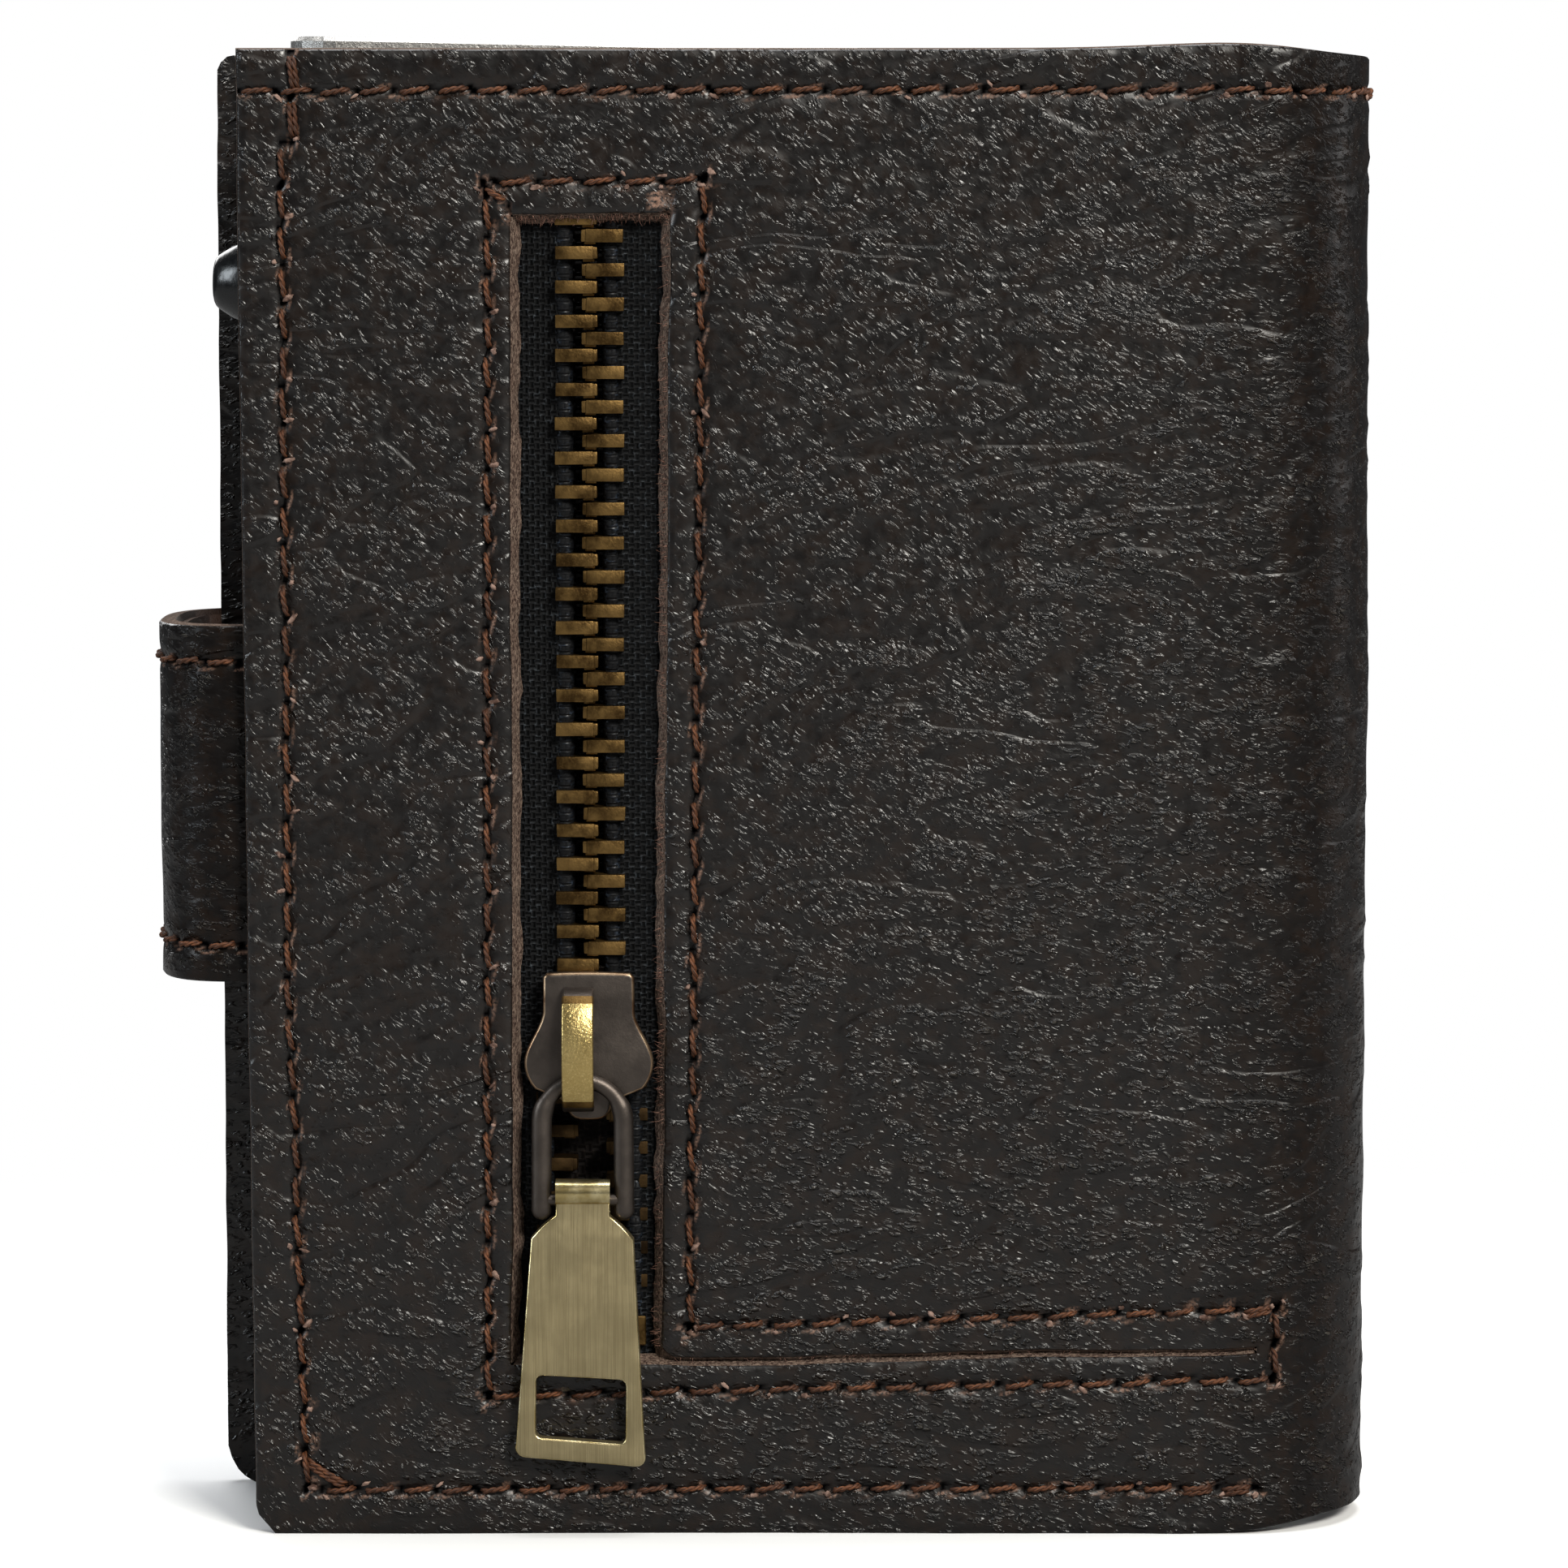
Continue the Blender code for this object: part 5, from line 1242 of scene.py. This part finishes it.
def build_tape(name, side):
    """The tape's inner edge wraps the cord and follows the row where it parts."""
    low, high = box(f"zip_tape_{name}")
    thickness = 0.4
    shares = np.linspace(0, 1, 24)
    rows = np.arange(low[2] + 0.3, high[2] - 0.2, 0.4)
    share, z = np.meshgrid(shares, rows, indexing="ij")
    inner = side * (CHAIN_HALF - 0.75 + parting(z))
    x = ZIP_X + inner * (1 - share) + side * 8.95 * share
    wave = 0.1 * cloudy(share * 4, z / 5, 90 + side)
    roll = -0.35 * np.exp(-(share * 7.3 / 0.7) ** 2)
    y = FRONT_Y + 1.62 + wave + roll
    index = np.arange(share.size).reshape(share.shape)
    quads = np.stack([index[:-1, :-1], index[1:, :-1], index[1:, 1:], index[:-1, 1:]], -1).reshape(-1, 4)
    loop = np.concatenate([index[:, 0], index[-1, 1:], index[-2::-1, -1], index[0, -2:0:-1]])
    if side < 0:
        quads = quads[:, ::-1]
        loop = loop[::-1]
    after = np.roll(loop, -1)
    walls = np.stack([after, loop, loop + share.size, after + share.size], -1)
    faces = np.concatenate([quads, quads[:, ::-1] + share.size, walls])
    points = np.concatenate([np.stack([x, depth, z], -1).reshape(-1, 3) for depth in (y, y + thickness)])
    tape = add_mesh(f"tape_{name}", points, faces.tolist(), [TAPE_CLOTH], points[faces][..., [0, 2]], 60)
    settle(tape, "zip_panel", (f"zip_tape_{name}",))


def build_zip():
    for name, side in (("left", -1), ("right", 1)):
        build_teeth(name, side)
        build_cord(name, side)
        build_tape(name, side)


# ---------------------------------------------------------------- the slider

def slider_outline():
    """The slider's plate: a straight narrow end on top that flares to round shoulders and a short tongue."""
    top = SLIDER_HIGH[2]
    foot = SLIDER_LOW[2]
    neck_end = top - 2.4
    shoulder = foot + 3.9
    half_top, half_wide = 3.05, 4.33
    tongue_half, tongue_tall = 1.55, 1.25
    shoulder_r = 2.6
    right = [(half_top - 0.25, top + 0.02), (half_top, top - 0.25), (half_top + 0.02, neck_end)]
    for share in np.arange(1, 15) / 14:
        swell = (half_wide - half_top) * smooth_step(share, 0, 1)
        right.append((half_top + swell, neck_end - share * (neck_end - shoulder)))
    for angle in math.radians(44) * np.arange(1, 10) / 9:
        inwards = shoulder_r * (1 - math.cos(angle))
        right.append((half_wide - inwards, shoulder - shoulder_r * math.sin(angle)))
    for angle in math.pi / 2 * np.arange(9) / 8:
        right.append((tongue_half * math.cos(angle) ** 0.6, foot + tongue_tall * (1 - math.sin(angle))))
    left = [(-x, z) for x, z in reversed(right[:-1])]
    crest = [(x, top + 0.08 * (1 - (x / half_top) ** 2)) for x in np.linspace(-2.4, 2.4, 9)]
    return [(ZIP_X + x, z) for x, z in right + left + crest]


def build_slider():
    near, far = SLIDER_LOW[1], SLIDER_HIGH[1]
    outline = slider_outline()
    wedge = [(-0.5, 0.6), (0.5, 0.6), (0.5, 1.2), (0.02, 2.3), (-0.5, 1.2)]
    wedge = [(ZIP_X + x, SLIDER_LOW[2] + z) for x, z in wedge]
    pieces = [
        # The front plate's rounded edges get the lighter copper: edge wear and a painted highlight.
        plate("slider_front", [outline], near, near + 0.8, 0.26, (BRONZE, EDGE_WEAR_AND_HIGHLIGHT)),
        plate("slider_back", [outline], far - 0.7, far, 0.2, (BRONZE,)),
        plate("slider_post", [wedge], near + 0.3, far - 0.3, 0.04, (BRONZE,)),
    ]

    # Flanges turned in from both plates follow the rows as these part
    heights = np.linspace(SLIDER_HIGH[2] - 0.3, SLIDER_LOW[2] + 3.4, 14)
    inside = CHAIN_HALF + 0.2 + parting(heights) * 0.98
    flange = 0.35
    for side in (-1, 1):
        shape = [(ZIP_X + side * x, z) for x, z in zip(inside, heights)]
        shape += [(x + side * flange, z) for x, z in reversed(shape)]
        for low, high in ((near + 0.3, near + 1.4), (far - 1.3, far - 0.3)):
            pieces.append(plate("slider_flange", [shape], low, high, 0.08, (BRONZE,)))
    settle(joined("slider_body", pieces), "zip_slider", ("zip_slider_body",))


def build_crown():
    """An arched strip over the front plate, gilt on its back, painted darker towards its feet as the shade
    there.
    """
    low, high = box("zip_slider_crown")
    steps = 46
    half_thick = 0.22
    half_tall = (high[2] - low[2]) / 2 - 0.25
    angles = np.linspace(0.02, math.pi - 0.02, steps)
    y = high[1] + 0.25 - (high[1] - low[1]) * np.sin(angles) ** 0.75 + half_thick
    z = (low[2] + high[2]) / 2 + half_tall * np.cos(angles)
    centres = np.stack([np.full_like(y, (low[0] + high[0]) / 2), y, z], -1)[None]
    section = round_box((high[0] - low[0]) / 2 - 0.08, half_thick, 0.16)
    corners = len(section)
    section = np.broadcast_to(np.array(section), (steps, corners, 2))
    crown = sweep("slider_crown", centres, (1e-3, -1, 0.02), section, [GILT, BRONZE, TOOTH_BRASS], 60.0)
    # Painted shade: the rings nearest each foot get the dark bronze, and the next few the plain brass.
    for face in crown.data.polygons:
        ring = face.index // corners
        from_end = min(ring, steps - 2 - ring)
        if from_end < 9:
            face.material_index = 1 if from_end < 6 else 2
    settle(crown, "zip_slider", ("zip_slider_crown",))


# ---------------------------------------------------------------- the pull

PIN_X, PIN_Y, PIN_Z = np.array(joint("pull_tab_swing")["pos_m"]) / MM
HALF_NECK = 1.82


def build_loop():
    """A bent wire: a round arch under the crown, two legs, and a pin turned in at the foot of each."""
    top = LOOP_HIGH[2] - 0.62
    radius = (LOOP_HIGH[0] - LOOP_LOW[0]) / 2 - 0.78
    leg_end = PIN_Z - 1.35
    spring = top - radius
    rounding = np.array([0.0, 0.04, 0.13, 0.27, 0.44, 0.6])
    leg = np.concatenate([leg_end + rounding, np.linspace(leg_end + 0.9, spring, 14)])
    leg_x = radius + 0.04 * (1 - (leg - leg_end) / (spring - leg_end))
    turns = np.linspace(0, math.pi, 33)[1:-1]
    x = np.concatenate([leg_x, radius * np.cos(turns), -leg_x[::-1]])
    z = np.concatenate([leg, spring + radius * np.sin(turns), leg[::-1]])
    centres = np.stack([PIN_X + x, np.full_like(x, PIN_Y), z], -1)[None]

    # Rounded ends, and slimmer where it turns under the crown
    size = np.ones(len(x))
    size[:len(rounding)] = np.sqrt(np.maximum(0.04, 1 - (1 - rounding / 0.65) ** 2))
    size[-len(rounding):] = size[:len(rounding)][::-1]
    size *= 1 - 0.22 * smooth_step(z, top - 1.9, top - 1.0)
    section = circle(0.67, 20) * (1, 0.8) * size[:, None, None]
    pieces = [sweep("pull_wire", centres, (0, 1, 0), section, [BRONZE], 60.0)]
    for side in (-1, 1):
        line = np.array([(PIN_X + side * x, PIN_Y, PIN_Z) for x in (radius, 1.4, 0.45, 0.35)])[None]
        section = circle(0.41, 12) * np.array([1.0, 1.0, 1.0, 0.6])[:, None, None]
        pieces.append(sweep("pull_pin", line, (0, 1, 0), section, [BRONZE], 60.0))
    settle(joined("pull_wire", pieces), "pull_loop", ("zip_pull_loop",))


def tab_outline(foot):
    """Half a neck and shoulder, a straight flank and a round corner, then the same mirrored."""
    neck, shoulder, half_foot = HALF_NECK, 3.45, (TAB_HIGH[0] - TAB_LOW[0]) / 2
    drop = 1.6
    high = PIN_Z - 1.0
    corner = 0.7
    right = [(neck, PIN_Z + 0.4), (neck, high)]
    for share in (0.25, 0.5, 0.75, 1.0):
        bulge = 0.12 * math.sin(share * math.pi)
        right.append((neck + (shoulder - neck) * share, high - drop * share + bulge))
    right.append((half_foot - 0.1, foot + 1.0))
    for angle in np.linspace(0, math.pi / 2, 6):
        right.append((half_foot - 0.75 + corner * math.cos(angle), foot + corner - 0.65 * math.sin(angle)))
    return right + [(-x, z) for x, z in reversed(right)]


def build_tab():
    """A tapered plate with a window, folded over the pins at its neck."""
    foot = TAB_LOW[2] + 0.35

    def skew(shape):
        """The plate was punched slightly askew: its cross lines slope down to the right."""
        slope = [0.085 * (PIN_Z - z) / (PIN_Z - foot) for x, z in shape]
        return [(PIN_X + x + 0.012 * (z - PIN_Z), z - k * x) for (x, z), k in zip(shape, slope)]

    window = round_box(3.02, 2.145, 0.42, (0.0, foot + 3.675))
    near = PIN_Y - 0.55
    outlines = [skew(tab_outline(foot)), skew(window)]
    # Painted highlight: the lighter brass goes on the plate's rounded edges and on the folded neck.
    tab = plate("pull_plate", outlines, near, near + 1.1, 0.15, (BRUSHED, EDGE_HIGHLIGHT_BRASS))
    fold_r = 0.72
    fold = [(PIN_X, PIN_Y - 0.3, PIN_Z - 0.9)]
    for angle in np.linspace(-2.2, 2.2, 24):
        fold.append((PIN_X, PIN_Y - fold_r * math.cos(angle), PIN_Z + 0.5 + fold_r * math.sin(angle)))
    strip = np.array([(-1, -1), (1, -1), (1, 1), (-1, 1)]) * (HALF_NECK, 0.18)
    section = np.broadcast_to(strip, (len(fold), 4, 2))
    roll = sweep("pull_roll", np.array(fold)[None], (0.001, -1, 0.3), section, [EDGE_HIGHLIGHT_BRASS], 30.0)
    settle(joined("pull_tab_plate", [tab, roll]), "pull_tab", ("zip_pull_tab",))


# ---------------------------------------------------------------- the strap

STRAP_LOW = box("strap_bow")[0]
STRAP_ROOT = box("strap_root")
STRAP_TIP = box("strap_tip")
STRAP_REACH = 6.3
STRAP_EDGE = STRAP_LOW[0] + STRAP_REACH
STRAP_MID_Y = (STRAP_TIP[1][1] + STRAP_ROOT[0][1]) / 2
STRAP_HALF = (STRAP_TIP[1][1] - STRAP_ROOT[0][1]) / 2
STRAP_FRONT = STRAP_MID_Y - STRAP_HALF
STRAP_REAR = STRAP_MID_Y + STRAP_HALF
STRAP_FOOT = STRAP_TIP[0][2]
STRAP_TOP = STRAP_TIP[1][2]
STRAP_UPPER_LINE = STRAP_TOP - 2.4
STRAP_LOWER_LINE = STRAP_FOOT + 2.5
STRAP_OUT = (STRAP_LOW[0], STRAP_MID_Y, FOLD_Z)
STRAP_PARTS = {
    "tip": ("strap_bow", ("strap_tip", STRAP_OUT, (STRAP_EDGE, STRAP_REAR, FOLD_Z))),
    "root": ("zip_panel", ("strap_bow", (STRAP_EDGE, STRAP_FRONT, FOLD_Z), STRAP_OUT)),
}


def strap_path(inset):
    """From the strap's free end on the rear, round the bow on the left, to its root on the front."""
    power = 2 / 2.8
    points = [(STRAP_TIP[1][0], STRAP_REAR - inset)]
    for angle in np.linspace(math.pi / 2, -math.pi / 2, 400):
        x = abs(math.cos(angle)) ** power
        y = math.copysign(abs(math.sin(angle)) ** power, math.sin(angle))
        points.append((STRAP_EDGE - (STRAP_REACH - inset) * x, STRAP_MID_Y + (STRAP_HALF - inset) * y))
    points.append((STRAP_ROOT[1][0], STRAP_FRONT + inset))
    points = np.array(points)
    along = lengths_along(points)
    even = np.linspace(0, along[-1], int(along[-1] / 0.15))
    return Path(np.stack([np.interp(even, along, column) for column in points.T], -1))


def strap_waves(s, z):
    return 0.12 * cloudy(s / 9, z / 7, 33) + 0.05 * creases(s * 0.7 + 40, z)


def strap_corners(s, z):
    """The strap's free end has rounded corners."""
    share = (z - (STRAP_FOOT + STRAP_TOP) / 2) / ((STRAP_TOP - STRAP_FOOT) / 2)
    return s, z - share * corner_drop(-s, 0.0, 4.5) * np.abs(share)


def build_ply(name, node, inset, thickness, trim, materials, seams):
    """One ply of the strap, in two sheets that meet where the bow reaches furthest out."""
    path = strap_path(inset)
    length = float(path.s[-1])
    turning = float(path.s[np.argmin(path.points[:, 0])])
    foot, top = STRAP_FOOT + trim, STRAP_TOP - trim
    rows = grid_lines(
        foot, top, 0.5, [foot + ROUNDING, top - ROUNDING], (STRAP_UPPER_LINE, STRAP_LOWER_LINE)
    )
    marks = all_marks([seam.dents for seam in seams.values()]) if seams else None
    for part, start, end, meeting, nodes in (
        ("tip", 0.0, turning, "end", (f"{node}_tip", f"{node}_bow")),
        ("root", turning, length, "start", (f"{node}_root",)),
    ):
        exact = [start + 0.05, start + ROUNDING, end - 0.05, end - ROUNDING]
        obj = sheet(
            f"{name}_{part}", path, grid_lines(start, end, 0.5, exact), rows, thickness, materials,
            strap_corners, strap_waves, flare=0.08, marks=marks, seams=(meeting,),
        )
        body, fold = STRAP_PARTS[part]
        settle(obj, body, nodes, fold)
    return path, turning


def build_strap():
    length = float(strap_path(0.0).s[-1])
    seams = {
        "upper": Seam([(2.6, STRAP_UPPER_LINE), (length - 1.5, STRAP_UPPER_LINE)], 31),
        "lower": Seam([(2.6, STRAP_LOWER_LINE), (length - 1.5, STRAP_LOWER_LINE)], 32),
    }
    leather = (LEATHER_LOOK, FLESH, RAW_EDGE)
    path, turning = build_ply("strap_leather", "strap", 0.0, 1.1, 0.0, leather, seams)
    for label, seam in seams.items():
        stitches = seam.stitches
        middle = [(seam.holes[i][0] + seam.holes[j][0]) / 2 for i, j in stitches]
        for part, (body, fold) in STRAP_PARTS.items():
            seam.stitches = [pair for pair, s in zip(stitches, middle) if (s < turning) == (part == "tip")]
            thread = seam.threads(f"stitches_strap_{label}_{part}", path, strap_waves)
            settle(thread, body, fold=fold)
    build_ply("strap_inside", "strap_lining", 1.25, 0.6, 0.35, (SUEDE, SUEDE, RAW_EDGE), None)


# ---------------------------------------------------------------- trigger

def build_trigger():
    """A glossy bell-shaped knob with a turned rim, on the stem that comes out of the case."""
    tip = TRIGGER_LOW[0] - 0.5
    root = TRIGGER_HIGH[0]
    axis = joint("trigger_slide")["axis"]
    lean = math.atan2(-axis[0], -axis[2])
    middle = (TRIGGER_LOW + TRIGGER_HIGH) / 2

    # Distance from the tip and radius, from the stem out
    bell = [(4.1, 1.15), (4.08, 2.6), (3.95, 2.9), (3.7, 2.95), (2.9, 2.95), (2.5, 2.9), (1.9, 2.72)]
    bell += [(1.3, 2.42), (0.7, 2.05), (0.4, 1.86), (0.2, 1.66), (0.07, 1.4), (0.0, 1.1), (0.0, 0.01)]
    profile = np.array([(root, 1.1)] + [(tip + along, radius) for along, radius in bell])
    x, radii = profile.T
    x = x - np.arange(len(x)) * 1e-4
    z = middle[2] - (x - (tip + root) / 2) * math.sin(lean)
    centres = np.stack([x, np.full_like(x, middle[1]), z], -1)[None]
    section = circle(1.0, 40) * radii[:, None, None]
    knob = sweep("trigger_knob", centres, (0, 0, 1), section, [BLACK_PLASTIC], 38.0)
    settle(knob, "trigger", ("case_trigger",))


# ---------------------------------------------------------------- CAD nodes that stay

def finish_nodes():
    kept = {
        ALUMINIUM: ("card_case_body", "card_case_end_cap"),
        CASE_PLASTIC: ("card_case_mouth_ring",),
        BLACK_PLASTIC: ("card_ejector",),
        FELT: ("card_friction_pad",),
        FOAM_TAPE: ("case_mounting_tape",),
        SNAP_METAL: ("snap_cap", "snap_socket", "snap_stud", "snap_post"),
        TOOTH_BRASS: ("zip_top_stop_left", "zip_top_stop_right", "zip_bottom_stop"),
    }
    for material, nodes in kept.items():
        for node in nodes:
            slots = frame["nodes"][node].data.materials
            slots.clear()
            slots.append(material)


# ---------------------------------------------------------------- floor, light and camera, in metres

def build_stage():
    """A small white table. The camera sees it melt into white a little way from the wallet."""
    corners = 48
    ring = [(x, y, 0.0) for x, y in circle(0.42, corners)]
    mesh = bpy.data.meshes.new("floor")
    mesh.from_pydata(ring, [], [list(range(corners))])
    n = Nodes("pale_floor", Roughness=0.75, Specular_IOR_Level=0.1)
    place = n.add("TexCoord", {}, "Object")
    tone = n.mix(n.noise(place, 10.0, 2.0), (0.93, 0.93, 0.93, 1), (0.95, 0.95, 0.95, 1))
    camera_ray = n.add("LightPath", {}, "Is Camera Ray")
    n.finish(Base_Color=n.mix(camera_ray, (0.25, 0.25, 0.25, 1), tone))
    away = n.band(n.add("VectorMath", {0: place}, "Value", operation="LENGTH"), 0.06, 0.16)
    white = n.add("Emission", {"Color": (1, 1, 1, 1), "Strength": 1.0})
    blend = n.add("MixShader", {0: n.times(away, camera_ray), 1: n.surface.outputs[0], 2: white})
    n.tree.links.new(blend, n.tree.nodes["Material Output"].inputs["Surface"])
    mesh.materials.append(n.material)
    new_object("floor", mesh)


def aim(obj, place, target):
    obj.location = place
    obj.rotation_euler = (Vector(target) - Vector(place)).to_track_quat("-Z", "Y").to_euler()


def add_light(name, place, target, size, power, tone=(1, 1, 1)):
    light = bpy.data.lights.new(name, "AREA")
    light.shape = "RECTANGLE"
    light.size, light.size_y = size
    light.energy = power
    light.color = tone
    aim(new_object(name, light), place, target)


def build_lights():
    middle = (0.0, 0.0, HEIGHT * MM / 2)
    add_light("softbox_key", (0.40, -0.72, 0.58), middle, (0.3, 0.24), 10.5, (1.0, 0.97, 0.9))
    add_light("softbox_top", (0.05, 0.1, 0.95), (0.0, 0.0, 0.0), (0.6, 0.6), 8.5)
    add_light("softbox_left", (-0.8, -0.3, 0.35), middle, (0.2, 0.4), 3.0, (0.86, 0.94, 1.0))
    add_light("softbox_right", (0.7, 0.1, 0.3), middle, (0.12, 0.5), 1.2)
    add_light("softbox_back", (-0.35, 0.8, 0.45), middle, (0.4, 0.4), 2.5)


def build_world():
    """White where the camera looks past the wallet, and a faint bluish light from all round."""
    world = bpy.data.worlds.new("studio")
    world.use_nodes = True
    tree = world.node_tree
    seen = tree.nodes["Background"]
    seen.inputs["Color"].default_value = (1, 1, 1, 1)
    around = tree.nodes.new("ShaderNodeBackground")
    around.inputs["Color"].default_value = (0.9, 0.95, 1.0, 1)
    around.inputs["Strength"].default_value = 0.08
    path = tree.nodes.new("ShaderNodeLightPath")
    choose = tree.nodes.new("ShaderNodeMixShader")
    for output, socket in (
        (path.outputs["Is Camera Ray"], choose.inputs[0]),
        (around.outputs[0], choose.inputs[1]),
        (seen.outputs[0], choose.inputs[2]),
        (choose.outputs[0], tree.nodes["World Output"].inputs["Surface"]),
    ):
        tree.links.new(output, socket)
    bpy.context.scene.world = world
    bpy.context.scene.view_settings.view_transform = "Standard"


def build_camera():
    camera = bpy.data.cameras.new("camera")
    camera.sensor_width = 36
    camera.lens = 137.9
    camera.clip_start = 0.01
    obj = new_object("camera", camera)
    aim(obj, Vector((1.5, FRONT_Y - 400, 88)) * MM, Vector((1.5, FRONT_Y, 50.93)) * MM)
    bpy.context.scene.camera = obj


build_front()
build_rear()
build_window_fuzz()
build_linings()
build_spine_lining()
build_zip()
build_slider()
build_crown()
build_loop()
build_tab()
build_strap()
build_trigger()
finish_nodes()
build_stage()
build_lights()
build_world()
build_camera()
